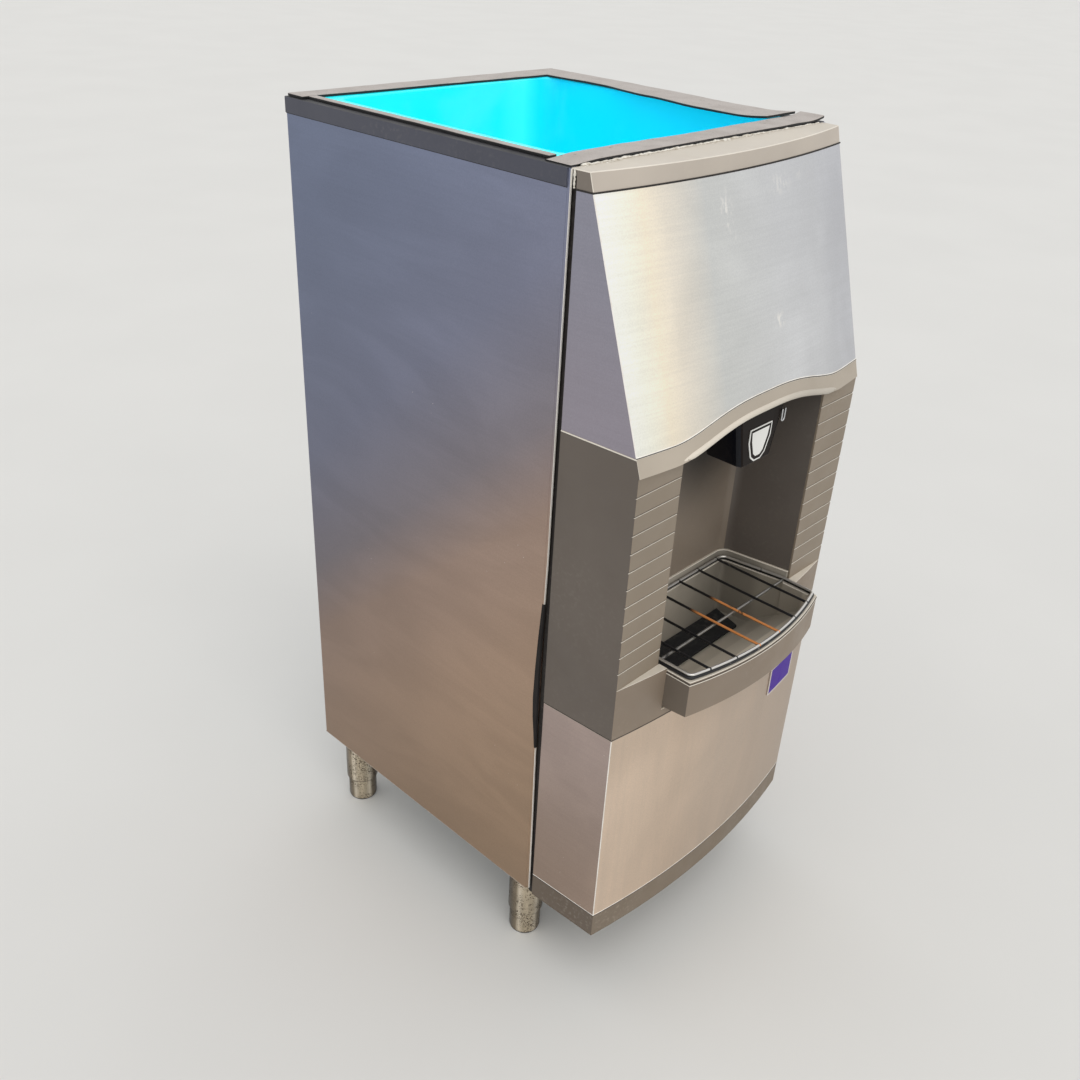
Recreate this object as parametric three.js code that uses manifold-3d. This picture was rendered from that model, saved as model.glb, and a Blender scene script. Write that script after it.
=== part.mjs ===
// Free-standing ice dispenser: a stainless cabinet with an open insulated bin, a front fascia with a
// dispensing alcove, a drip tray with a lift-off wire grille, and four adjustable legs.
// Millimetres. +Z is up, +X is to the right seen from the front, and the front faces -Y.
// The pieces are drawn with the cabinet's front plane at Y = 0, and the last lines centre the object.
import * as THREE from 'three';
import { mergeVertices } from 'three/addons/utils/BufferGeometryUtils.js';
import Module from 'manifold-3d';

const wasm = await Module();
wasm.setup();

// Overall sizes
const cabinetWidth = 558.8;
const cabinetDepth = 556;
const legHeight = 150;
const seam = 0.3;
const runGap = 0.3;
const overrun = 12;

// Heights of the front, each counted from the one before it, from the leg's top to the rim
const kickDrop = 9;
const kickHeight = 46.5;
const lowerFace = 366.8;
const sillBand = 91.2;
const alcoveOpening = 335;
const trimDepth = 25.5;
const upperFace = 306.7;
const capSkirt = 22.6;
const rimStep = 0.7;

// Sheet metal of the cabinet
const skin = 1.2;
const pan = 1.5;
const frontReturn = 18;
const rearReturn = 14;
const panFlange = 25;
const deckGap = 50;
const bandHeight = 22;
const bandWall = 1.6;
const bandWeb = 15;

// Foam strips on the rim
const stripThickness = 4.5;
const frontStripWidth = 44;
const rearStripWidth = 52;
const rearStripLeftWidth = 36;
const leftStripWidth = 14.4;
const leftStripInset = 14;
const stripMargin = 4;
// Widths of the right strip from its front end to its rear end, cut by hand
const rightStripWidths = [87, 90, 75, 58, 61];

// Bin and its insulation
const binSide = 53.4;
const binFront = 45;
const binRear = 49;
const binWall = 3;
const binHopperRun = 60;
const binHopperRise = 70;
const pocketClearance = 1;

// Fascia: half widths narrow towards the front, and the front is bowed in plan
const fasciaRear = 10;
const fasciaInset = 3.6;
const draftShare = 0.058;
const bowSteps = 16;
const sheetWall = 1.2;
const mouldWall = 3;
const capTopFront = 28.8;
const capTopBow = 31;
const capLowFront = 35.4;
const capLowBow = 24;
const bellyFront = 132.2;
const bellyBow = 20;
const faceFront = 138.5;
const sillBow = 25;
const lowerSeamBow = 23;
const kickBow = 26.4;
const kickLip = 18;
const gasketWidth = 8;
const gasketSink = 3;

// Arch over the alcove
const archInset = 74.4;
const seamArchRise = 24;
const lipArchRise = 25.8;
const archPowerShare = 1.4;
const archSteps = 32;
const lipRadius = 4;
const lipPast = 8;
const lipSides = 8;
const pilasterOverlap = 2;

// Alcove and the grooves beside it
const pilasterWidth = 105.4;
const alcoveTaper = 16;
const alcoveBack = 14;
const alcoveCornerRadius = 20;
const alcoveWall = 2.5;
const ceilingRise = 31.5;
const upstandRise = 17;
const grooveCount = 11;
const grooveHead = 26.9;
const grooveFoot = 29.1;
const grooveWidth = 1.6;
const grooveDepth = 1.2;
const chuteNotchHalf = 68;
const chuteNotchBack = 58;

// Drip tray
const traySideGap = 3;
const trayFront = 196;
const trayBow = 25.5;
const trayRimDrop = 3.5;
const trayFrontDepth = 54;
const trayRearDepth = 68;
const trayLowRearAt = 152;
const trenchDepth = 102;
const trenchSole = 6;
const trenchFront = 84;
const rampTopDepth = 16;
const rampMiddleDepth = 61;
const rampMiddleAt = 140;
const trayStep = 3;
const rimWidth = 10;
const ledgeWidth = 7;
const drainAt = 50;

// Mat, grille and the tray's drain
const matSideGap = 35;
const matFront = 79;
const matBack = 32;
const matThickness = 5;
const matCorner = 6;
const ringWire = 2.5;
const barWire = 2.1;
const wireSides = 8;
const ringLift = 4.1;
const barCount = 6;
const barEdge = 41;
const crossBarAt = 133;
const grilleCornerRadius = 9;
const grilleCornerSteps = 4;
const spigotLength = 30;
const hoseRadius = 13;
const hoseBore = 10;
const hoseBend = 45;
const hoseSides = 8;
const hoseRise = 90;
const binDrainX = 120;
const binDrainAt = 250;
const outletNipple = 14;
const outletInside = 30;
const outletFlangeRadius = 22;
const outletFlange = 3;

// Badge plate on the lower panel
const badgeInset = 55.4;
const badgeWidth = 84;
const badgeDrop = 69.3;
const badgeHeight = 58;
const badgeThickness = 1.2;
const badgeCorner = 3;

// Legs
const legRadius = 30.5;
const legInsetX = 44;
const legInsetFront = 38;
const legInsetRear = 54;
const footHeight = 49;
const footRadius = 27.5;
const footChamfer = 3;
const stemRadius = 10;
const stemLength = 55;
const stemBore = 62;
const legStud = 6;
const legStudLength = 20;
const roundSides = 24;
const smallSides = 16;

// Drive of the dispensing wheel
const wheelRise = 4.5;
const wheelSideGap = 44;
const wheelFloorGap = 13;
const wheelFront = 50;
const wheelWidth = 50;
const hubRadius = 24;
const hubOverhang = 3;
const bladeCount = 8;
const bladeThickness = 5;
const shaftRadius = 8;
const shaftStart = 8;
const shaftEnd = 190;
const bushRadius = 14;
const agitatorAt = 160;
const agitatorHub = 17;
const agitatorInset = 14;
const agitatorRod = 6;
const agitatorWidth = 22;
const motorX = 125;
const motorRise = 73;
const motorRadius = 32;
const motorNose = 85;
const motorCapRadius = 24;
const motorCap = 10;
const gearboxHalf = 36;
const gearboxDepth = 36;
const motorHoleGap = 2;

// Outlet throat, gate and solenoid
const throatHalf = 42;
const throatWall = 2.5;
const throatRise = 30;
const throatFall = 26;
const throatFrontHeight = 62;
const throatBackHeight = 58;
const throatNose = 60;
const gateThickness = 2;
const gateDrop = 2;
const gateGap = 2;
const gatePinRadius = 2.5;
const gateSleeve = 5;
const gateSleeveHalf = 37;
const gateHingeAhead = 4.8;
const gateHingeRise = 8;
const lugThickness = 4;
const lugGap = 1;
const lugReach = 6.2;
const lugBack = 12;
const lugHead = 7;
const armGap = 2;
const armThickness = 3;
const armHead = 24;
const armTail = 24;
const armHalf = 6.2;
const armLift = 12;
const armSlotLow = 9;
const armSlotHigh = 20;
const armSlotWidth = 6.4;
const solenoidSize = 32;
const solenoidReach = 38;
const plungerRadius = 5;
const plungerEnd = 12;
const plungerNose = 6;
const crossPinRadius = 2;
const pinTail = 1;

// Rocking chute and its switch
const chuteFront = 142;
const chuteHang = 58.5;
const chuteHead = 6;
const chuteLowHalf = 38;
const chuteTopHalf = 62;
const chuteLowBack = 80;
const chuteTopBack = 66;
const chuteWall = 2.5;
const chuteCorner = 7;
const chuteCornerSteps = 3;
const pivotAt = 95;
const pivotRise = 20;
const pivotRadius = 4;
const earThickness = 4;
const earHalf = 10;
const earHead = 10;
const earRoot = 13;
const bracketGap = 22;
const bracketPlate = 2.5;
const bracketFront = 20;
const bracketHead = 12;
const bracketFoot = 16;
const stubEnd = 58;
const tabReach = 18;
const tabAhead = 81;
const tabBack = 69;
const tabThickness = 5;
const tabDrop = 3;
const switchGap = 5;
const switchAhead = 89;
const switchBack = 63;
const switchDrop = 8;
const switchHeight = 16;
const buttonSize = 4;
const buttonInset = 12;
const buttonAt = 75;
const buttonInside = 6;
const buttonBore = 10;
const springRadius = 5.5;
const springWire = 1.1;
const springTurns = 4;
const springLength = 14;
const springGap = 4;
const springSteps = 12;
const springSides = 6;
const labelThickness = 1;
const labelRise = 55;
const labelHeight = 53;
const labelHalf = 27;

// Control box and rear fittings
const controlInset = 39.4;
const controlWidth = 200;
const controlRise = 150;
const controlHeight = 160;
const controlDepth = 56;
const controlWall = 1.5;
const glandInset = 99.4;
const glandRise = 85;
const glandRadius = 8;
const glandNut = 13;
const glandBore = 4;
const glandInside = 10;
const glandOutside = 12;
const glandNutDepth = 5;

// Heights worked out from the sizes above
const kickLowHeight = legHeight - kickDrop;
const kickTopHeight = kickLowHeight + kickHeight;
const lowerSeamHeight = kickTopHeight + lowerFace;
const sillHeight = lowerSeamHeight + sillBand;
const lipHeight = sillHeight + alcoveOpening;
const bellyHeight = lipHeight + trimDepth;
const capLowHeight = bellyHeight + upperFace;
const capTopHeight = capLowHeight + capSkirt;
const rimHeight = capTopHeight + rimStep;
const alcoveCeiling = lipHeight + ceilingRise;
const grooveTop = lipHeight - grooveHead;
const groovePitch = (alcoveOpening - grooveHead - grooveFoot) / (grooveCount - 1);
const trayRim = sillHeight - trayRimDrop;
const upstandHeight = trayRim + upstandRise;
const trayLowRear = trayRim - trayRearDepth;
const trenchFloor = trayRim - trenchDepth;
const hoseLevel = legHeight + hoseRise;
const glandHeight = legHeight + glandRise;
const wheelHeight = lipHeight + wheelRise;
const motorHeight = wheelHeight + motorRise;
const throatFloorFront = alcoveCeiling + throatRise;
const throatRoofFront = throatFloorFront + throatFrontHeight;
const throatFloorBack = throatFloorFront + throatFall;
const throatRoofBack = throatFloorBack + throatBackHeight;
const gateHingeHeight = throatRoofFront + gateHingeRise;
const chuteLow = lipHeight - chuteHang;
const chuteTop = alcoveCeiling + chuteHead;
const pivotHeight = alcoveCeiling + pivotRise;
const switchLow = pivotHeight - switchDrop;
const switchHigh = switchLow + switchHeight;

// Widths and depths worked out from the sizes above
const half = cabinetWidth / 2;
const mouthHalf = half - binSide;
const binBack = cabinetDepth - binRear;
const stripLeft = -half + stripMargin;
const leftStripOuter = -half + leftStripInset;
const leftStripInner = leftStripOuter + leftStripWidth;
const sideStripFront = frontStripWidth + seam;
const archHalf = half - archInset;
const bracketAt = chuteTopHalf + bracketGap;
const tabEnd = chuteTopHalf + tabReach;
const switchLeft = chuteTopHalf + switchGap;
const springStart = chuteTopHalf + springGap;
const buttonX = chuteTopHalf + buttonInset;
const alcoveHalf = half - pilasterWidth;
const alcoveRearHalf = alcoveHalf - alcoveTaper;
const lipEnd = alcoveHalf + lipPast;
const trayHalf = alcoveHalf - traySideGap;
const matHalf = trayHalf - matSideGap;
const barPitch = 2 * (trayHalf - barEdge) / (barCount - 1);
const wheelRadius = mouthHalf - wheelSideGap;
const agitatorReach = wheelRadius - agitatorInset;
const glandX = half - glandInset;
const binFloor = wheelHeight - wheelRadius - wheelFloorGap;
const deckHeight = binFloor - deckGap;
const bulkheadFront = skin + seam;
const bulkheadBack = bulkheadFront + pan;
const innerHalf = half - skin - seam;
const innerFront = bulkheadBack + seam;
const rearPanelBack = cabinetDepth - skin - seam;
const rearPanelFront = rearPanelBack - skin;
const innerBack = rearPanelFront - seam;
const deckTop = deckHeight + pan;
const flangeHalf = half - bandWeb - seam;
const flangeBack = cabinetDepth - bandWeb - seam;
const flangeLow = rimHeight - binWall;
const foamTop = flangeLow - seam;
const faceInner = faceFront - mouldWall;
const alcoveMouth = faceInner - seam;
const gateHingeY = -throatNose - gateHingeAhead;
const labelFront = chuteFront + seam + labelThickness;
const tabLow = chuteTop - tabDrop;
const gridLevel = trayRim + seam + ringWire;
const spigotLow = trenchFloor - trenchSole - spigotLength;

// Looks
const look = (color, roughness, metalness) => ({ color, roughness, metalness });
const steel = look(0x9a9da3, 0.35, 1);
const galvanised = look(0xa8acb0, 0.5, 0.9);
const greyPlastic = look(0x80776b, 0.6, 0);
const darkPlastic = look(0x3a3633, 0.55, 0);
const blackPlastic = look(0x15181f, 0.35, 0);
const bandFinish = look(0x54545e, 0.5, 0.2);
const foamTape = look(0xb3a79c, 0.9, 0);
const cyanLiner = look(0x18dcf5, 0.4, 0);
const foamCore = look(0xd9c48a, 0.95, 0);
const blackRubber = look(0x111214, 0.85, 0);
const coatedWire = look(0x1c1d20, 0.45, 0.2);
const whiteLabel = look(0xe8e8e6, 0.5, 0);
const violetPlate = look(0x4d2a9b, 0.4, 0);
const legSteel = look(0xa59a8c, 0.5, 0.9);
const whitePlastic = look(0xdcdcd8, 0.5, 0);
const copperCoil = look(0x8c4a2c, 0.5, 0.7);
const motorPaint = look(0x2b2f36, 0.55, 0.3);

const dispenser = new THREE.Group();

// Shapes

function solidOf(geometry) {
  const bare = geometry.clone();
  bare.deleteAttribute('normal');
  bare.deleteAttribute('uv');
  const merged = mergeVertices(bare);
  return new wasm.Manifold(new wasm.Mesh({
    numProp: 3,
    vertProperties: new Float32Array(merged.attributes.position.array),
    triVerts: new Uint32Array(merged.index.array),
  }));
}

function geometryOf(solid) {
  const shell = solid.getMesh();
  const geometry = new THREE.BufferGeometry();
  geometry.setAttribute('position', new THREE.BufferAttribute(new Float32Array(shell.vertProperties), 3));
  geometry.setIndex(new THREE.BufferAttribute(new Uint32Array(shell.triVerts), 1));
  geometry.computeVertexNormals();
  return geometry;
}

function piece(name, finish, solid) {
  const mesh = new THREE.Mesh(geometryOf(solid), new THREE.MeshStandardMaterial(finish));
  mesh.name = name;
  dispenser.add(mesh);
}

function extruded(points, depth) {
  const shape = new THREE.Shape(points.map(([u, v]) => new THREE.Vector2(u, v)));
  return new THREE.ExtrudeGeometry(shape, { depth, bevelEnabled: false });
}

// A box from its low corner to its high corner
function block([x0, y0, z0], [x1, y1, z1]) {
  const geometry = new THREE.BoxGeometry(x1 - x0, y1 - y0, z1 - z0);
  return solidOf(geometry.translate((x0 + x1) / 2, (y0 + y1) / 2, (z0 + z1) / 2));
}

// An outline in X and Y, raised along Z
function prismZ(points, low, high) {
  return solidOf(extruded(points, high - low).translate(0, 0, low));
}

// An outline in X and Z, carried along Y
function prismY(points, front, back) {
  return solidOf(extruded(points, back - front).rotateX(Math.PI / 2).translate(0, back, 0));
}

// An outline in Y and Z, carried along X
function prismX(points, left, right) {
  const turn = new THREE.Matrix4().makeBasis(
    new THREE.Vector3(0, 1, 0), new THREE.Vector3(0, 0, 1), new THREE.Vector3(1, 0, 0));
  return solidOf(extruded(points, right - left).applyMatrix4(turn).translate(left, 0, 0));
}

function cylinderX(radius, left, right, y, z, sides = roundSides) {
  const geometry = new THREE.CylinderGeometry(radius, radius, right - left, sides);
  return solidOf(geometry.rotateZ(Math.PI / 2).translate((left + right) / 2, y, z));
}

function cylinderY(radius, front, back, x, z, sides = roundSides) {
  const geometry = new THREE.CylinderGeometry(radius, radius, back - front, sides);
  return solidOf(geometry.translate(x, (front + back) / 2, z));
}

function cylinderZ(radius, low, high, x, y, sides = roundSides) {
  const geometry = new THREE.CylinderGeometry(radius, radius, high - low, sides);
  return solidOf(geometry.rotateX(Math.PI / 2).translate(x, y, (low + high) / 2));
}

// A profile of [radius, height] points turned about an upright axis
function turned(profile, x, y, sides = roundSides) {
  const geometry = new THREE.LatheGeometry(profile.map(([r, h]) => new THREE.Vector2(r, h)), sides);
  return solidOf(geometry.rotateX(Math.PI / 2).translate(x, y, 0));
}

// The same, about an axis that runs back along Y, with heights counted towards the rear
function turnedBack(profile, x, z, sides = roundSides) {
  const geometry = new THREE.LatheGeometry(profile.map(([r, h]) => new THREE.Vector2(r, h)), sides);
  return solidOf(geometry.translate(x, 0, z));
}

// A closed body through outlines of equal length, stacked from low to high, each counter-clockwise
function loft(levels) {
  const count = levels[0].outline.length;
  const points = levels.flatMap(({ z, outline }) => outline.flatMap(([x, y]) => [x, y, z]));
  const edge = levels[0].outline.map(([x, y]) => new THREE.Vector2(x, y));
  const lid = THREE.ShapeUtils.triangulateShape(edge, []);
  const faces = lid.flatMap(([a, b, c]) => [a, c, b]);
  for (let level = 0; level + 1 < levels.length; level += 1) {
    for (let i = 0; i < count; i += 1) {
      const a = level * count + i;
      const b = level * count + (i + 1) % count;
      faces.push(a, b, b + count, a, b + count, a + count);
    }
  }
  const top = (levels.length - 1) * count;
  faces.push(...lid.flatMap(([a, b, c]) => [a + top, b + top, c + top]));
  const geometry = new THREE.BufferGeometry();
  geometry.setAttribute('position', new THREE.Float32BufferAttribute(points, 3));
  geometry.setIndex(faces);
  return solidOf(geometry);
}

// A wire that follows a closed loop of [x, y] points at one level
function wireLoop(points, radius, z) {
  const count = points.length;
  const places = [];
  const faces = [];
  points.forEach(([x, y], i) => {
    const [px, py] = points[(i + count - 1) % count];
    const [nx, ny] = points[(i + 1) % count];
    const run = Math.hypot(nx - px, ny - py);
    const side = [(ny - py) / run, (px - nx) / run];
    for (let k = 0; k < wireSides; k += 1) {
      const angle = 2 * Math.PI * k / wireSides;
      const out = radius * Math.cos(angle);
      places.push(x + side[0] * out, y + side[1] * out, z + radius * Math.sin(angle));
      const a = i * wireSides + k;
      const b = i * wireSides + (k + 1) % wireSides;
      const c = ((i + 1) % count) * wireSides + k;
      const d = ((i + 1) % count) * wireSides + (k + 1) % wireSides;
      faces.push(a, c, b, b, c, d);
    }
  });
  const geometry = new THREE.BufferGeometry();
  geometry.setAttribute('position', new THREE.Float32BufferAttribute(places, 3));
  geometry.setIndex(faces);
  return solidOf(geometry);
}

function circleShape(radius, sides, bore) {
  const ring = (r) => Array.from({ length: sides }, (_, k) => {
    const angle = 2 * Math.PI * k / sides;
    return new THREE.Vector2(r * Math.cos(angle), r * Math.sin(angle));
  });
  const shape = new THREE.Shape(ring(radius));
  if (bore) shape.holes.push(new THREE.Path(ring(bore)));
  return shape;
}

function swept(shape, path, steps) {
  return solidOf(new THREE.ExtrudeGeometry(shape, { extrudePath: path, steps, bevelEnabled: false }));
}

function arc([x, y], radius, from, to, steps) {
  return Array.from({ length: steps + 1 }, (_, i) => {
    const angle = from + (to - from) * i / steps;
    return [x + radius * Math.cos(angle), y + radius * Math.sin(angle)];
  });
}

const mirrored = (points) => points.map(([x, y]) => [-x, y]).reverse();
const union = (solids) => solids.reduce((all, next) => all.add(next));

// Fascia surfaces

function fasciaHalf(y) {
  return half - fasciaInset + draftShare * y;
}

// Corner line and bow of the front between two heights, followed on past both
function frontAt(low, high, z) {
  const share = (z - low.z) / (high.z - low.z);
  const between = (start, end) => start + (end - start) * share;
  return { corner: between(low.corner, high.corner), bow: between(low.bow, high.bow) };
}

function fasciaPlan({ corner, bow }, inset, rear) {
  const frontHalf = fasciaHalf(-corner) - inset;
  const rearHalf = fasciaHalf(rear) - inset;
  const outline = [[-rearHalf, rear]];
  for (let i = 0; i <= bowSteps; i += 1) {
    const share = 2 * i / bowSteps - 1;
    outline.push([frontHalf * share, -corner + inset - bow * (1 - share * share)]);
  }
  outline.push([rearHalf, rear]);
  return outline;
}

const capTop = { z: capTopHeight, corner: capTopFront, bow: capTopBow };
const capLow = { z: capLowHeight, corner: capLowFront, bow: capLowBow };
const belly = { z: bellyHeight, corner: bellyFront, bow: bellyBow };
const sill = { z: sillHeight, corner: faceFront, bow: sillBow };
const lowerSeam = { z: lowerSeamHeight, corner: faceFront, bow: lowerSeamBow };
const kickTop = { z: kickTopHeight, corner: faceFront, bow: kickBow };
const kickLow = { z: kickLowHeight, corner: faceFront, bow: kickBow };
const flatFront = { corner: faceFront, bow: 0 };

function fasciaBody(low, high, from, to, inset = 0, rear = -fasciaRear) {
  return loft([from, to].map((z) => ({ z, outline: fasciaPlan(frontAt(low, high, z), inset, rear) })));
}

function fasciaCore(low, high, from, to, wall) {
  return fasciaBody(low, high, from, to, wall, overrun);
}

// Height of the arched seam or lip: level at the ends, with a rounded rise in the middle
function archRise(x) {
  const share = Math.min(1, Math.abs(x) / archHalf);
  return (1 + Math.cos(Math.PI * share ** archPowerShare)) / 2;
}

function archLine(base, rise) {
  const points = [[-half, base]];
  for (let i = 0; i <= archSteps; i += 1) {
    const x = archHalf * (2 * i / archSteps - 1);
    points.push([x, base + rise * archRise(x)]);
  }
  points.push([half, base]);
  return points;
}

function underArch(base, rise) {
  const floor = base - overrun;
  return prismY([[-half, floor], [half, floor], ...archLine(base, rise).reverse()], -half, 0);
}

function overArch(base, rise) {
  const roof = base + rise + overrun;
  return prismY([...archLine(base, rise), [half, roof], [-half, roof]], -half, 0);
}

// Cabinet

function sidePanel(sign) {
  const plan = [
    [half, 0], [half, cabinetDepth],
    [half - rearReturn, cabinetDepth], [half - rearReturn, cabinetDepth - skin],
    [half - skin, cabinetDepth - skin], [half - skin, skin],
    [half - frontReturn, skin], [half - frontReturn, 0],
  ];
  return prismZ(sign > 0 ? plan : mirrored(plan), legHeight, rimHeight - bandWall - seam);
}

function rearPanel() {
  const plate = block([-innerHalf, rearPanelFront, legHeight], [innerHalf, rearPanelBack, flangeLow - seam]);
  const bore = (radius, x, z) => cylinderY(radius, rearPanelFront - overrun, rearPanelBack + overrun, x, z);
  return plate.subtract(union([
    bore(hoseRadius + seam, 0, hoseLevel),
    bore(hoseRadius + seam, binDrainX, hoseLevel),
    bore(glandRadius + seam, -glandX, glandHeight),
  ]));
}

const legPlaces = [
  ['front_left', -half + legInsetX, legInsetFront],
  ['front_right', half - legInsetX, legInsetFront],
  ['rear_left', -half + legInsetX, cabinetDepth - legInsetRear],
  ['rear_right', half - legInsetX, cabinetDepth - legInsetRear],
];

function basePan() {
  const top = legHeight + panFlange;
  const tray = block([-innerHalf, innerFront, legHeight], [innerHalf, innerBack, top]);
  const hollow = block(
    [pan - innerHalf, innerFront + pan, legHeight + pan], [innerHalf - pan, innerBack - pan, top + overrun]);
  const studHoles = legPlaces.map(([, x, y]) => (
    cylinderZ(legStud + seam, legHeight - overrun, legHeight + overrun, x, y)));
  return tray.subtract(union([hollow, ...studHoles]));
}

function bulkhead() {
  const plate = block([-innerHalf, bulkheadFront, legHeight], [innerHalf, bulkheadBack, flangeLow - seam]);
  return plate.subtract(union([
    throatBody(throatWall + seam),
    cylinderY(motorRadius + motorHoleGap, -overrun, overrun, motorX, motorHeight),
    cylinderY(hoseRadius + seam, -overrun, overrun, 0, hoseLevel),
  ]));
}

// The deck that carries the insulated bin, with flanges turned down at the front and back
function deck() {
  const plate = block([-innerHalf, innerFront, deckHeight], [innerHalf, innerBack, deckTop]);
  const flange = (y) => block([-innerHalf, y, deckTop - panFlange], [innerHalf, y + pan, deckTop]);
  const drain = cylinderZ(hoseRadius + seam, deckHeight - overrun, deckTop + overrun, binDrainX, binDrainAt);
  return union([plate, flange(innerFront), flange(innerBack - pan)]).subtract(drain);
}

// The liner's hollow, whose sides slope in to a flat floor
function linerHollow(grow, floor, top) {
  const wide = mouthHalf + grow;
  const narrow = wide - binHopperRun;
  const shoulder = binFloor + binHopperRise;
  return prismY([
    [-narrow, floor], [narrow, floor], [wide, shoulder], [wide, top], [-wide, top], [-wide, shoulder],
  ], binFront - grow, binBack + grow);
}

function liner() {
  const box = linerHollow(binWall, binFloor - binWall, rimHeight);
  const flange = block([-flangeHalf, bulkheadFront, flangeLow], [flangeHalf, flangeBack, rimHeight]);
  return box.add(flange).subtract(union([
    linerHollow(0, binFloor, rimHeight + overrun),
    throatBody(throatWall + seam),
    cylinderY(bushRadius + seam, binFront - overrun, binFront + overrun, 0, wheelHeight),
    cylinderZ(hoseBore, binFloor - overrun, binFloor + overrun, binDrainX, binDrainAt),
  ]));
}

function gearboxOutline(grow) {
  const slope = Math.atan2(motorHeight - wheelHeight, motorX);
  const radius = gearboxHalf + grow;
  return [
    ...arc([motorX, motorHeight], radius, slope - Math.PI / 2, slope + Math.PI / 2, roundSides / 2),
    ...arc([0, wheelHeight], radius, slope + Math.PI / 2, slope + Math.PI * 3 / 2, roundSides / 2),
  ];
}

function foam() {
  const outer = block([-innerHalf, innerFront, deckTop + seam], [innerHalf, innerBack, foamTop]);
  return outer.subtract(union([
    linerHollow(binWall + seam, binFloor - binWall - seam, rimHeight),
    throatBody(throatWall + seam),
    prismY(gearboxOutline(pocketClearance), -overrun, innerFront + gearboxDepth + seam),
    cylinderY(bushRadius + seam, 0, binFront, 0, wheelHeight),
    cylinderZ(hoseRadius + seam, deckHeight, binFloor, binDrainX, binDrainAt),
  ]));
}

// Rim bands: an outer leg and a top web each
function sideBand(sign) {
  const outer = half + seam + bandWall;
  const section = [
    [half - bandWeb, rimHeight - bandWall], [half + seam, rimHeight - bandWall],
    [half + seam, rimHeight - bandHeight], [outer, rimHeight - bandHeight], [outer, rimHeight],
    [half - bandWeb, rimHeight],
  ];
  return prismY(sign > 0 ? section : mirrored(section), 0, cabinetDepth);
}

function rearBand() {
  const outer = cabinetDepth + seam + bandWall;
  const inner = cabinetDepth - bandWeb;
  const reach = half - bandWeb - seam;
  const web = block([-reach, inner, rimHeight - bandWall], [reach, outer, rimHeight]);
  return web.add(block([-half, cabinetDepth + seam, rimHeight - bandHeight], [half, outer, rimHeight]));
}

function strip(outline) {
  return prismZ(outline, rimHeight + seam, rimHeight + seam + stripThickness);
}

function rectangle(left, front, right, back) {
  return [[left, front], [right, front], [right, back], [left, back]];
}

// The rear strip's inner edge runs slightly askew
function rearStripEdge(x) {
  const share = (x - stripLeft) / (half - stripLeft);
  return cabinetDepth - rearStripLeftWidth - (rearStripWidth - rearStripLeftWidth) * share;
}

function rearStripOutline() {
  const outline = [[stripLeft, rearStripEdge(stripLeft)], [half, rearStripEdge(half)]];
  return [...outline, [half, cabinetDepth], [stripLeft, cabinetDepth]];
}

function rightStripOutline() {
  const last = rightStripWidths.length - 1;
  const inner = rightStripWidths.map((width, i) => {
    const run = rearStripEdge(half - width) - seam - sideStripFront;
    return [half - width, sideStripFront + run * i / last];
  });
  return [[half, sideStripFront], [half, rearStripEdge(half) - seam], ...inner.reverse()];
}

piece('side_panel_left', steel, sidePanel(-1));
piece('side_panel_right', steel, sidePanel(1));
piece('rear_panel', galvanised, rearPanel());
piece('base_pan', galvanised, basePan());
piece('front_bulkhead', galvanised, bulkhead());
piece('bin_deck', galvanised, deck());
piece('bin_liner', cyanLiner, liner());
piece('bin_insulation', foamCore, foam());
piece('rim_band_left', bandFinish, sideBand(-1));
piece('rim_band_right', bandFinish, sideBand(1));
piece('rim_band_rear', bandFinish, rearBand());

piece('foam_strip_rear', foamTape, strip(rearStripOutline()));
piece('foam_strip_front', foamTape, strip(rectangle(stripLeft, 0, half, frontStripWidth)));
piece('foam_strip_right', foamTape, strip(rightStripOutline()));
piece('foam_strip_left', foamTape, strip(rectangle(leftStripOuter, sideStripFront, leftStripInner,
  rearStripEdge(leftStripInner) - seam)));

// Front fascia

function topCap() {
  const roof = capTopHeight - mouldWall;
  const hollow = fasciaCore(capLow, capTop, capLowHeight - overrun, roof, mouldWall);
  const tailHalf = fasciaHalf(-fasciaRear);
  const tail = block([-tailHalf, -fasciaRear, roof], [tailHalf, -seam, capTopHeight]);
  return fasciaBody(capLow, capTop, capLowHeight, capTopHeight).subtract(hollow).add(tail);
}

function upperPanel() {
  const sheet = fasciaBody(belly, capLow, bellyHeight + seam, capLowHeight - seam);
  const hollow = fasciaCore(belly, capLow, bellyHeight - overrun, capLowHeight + overrun, sheetWall);
  return sheet.subtract(hollow).subtract(underArch(bellyHeight + seam, seamArchRise));
}

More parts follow.
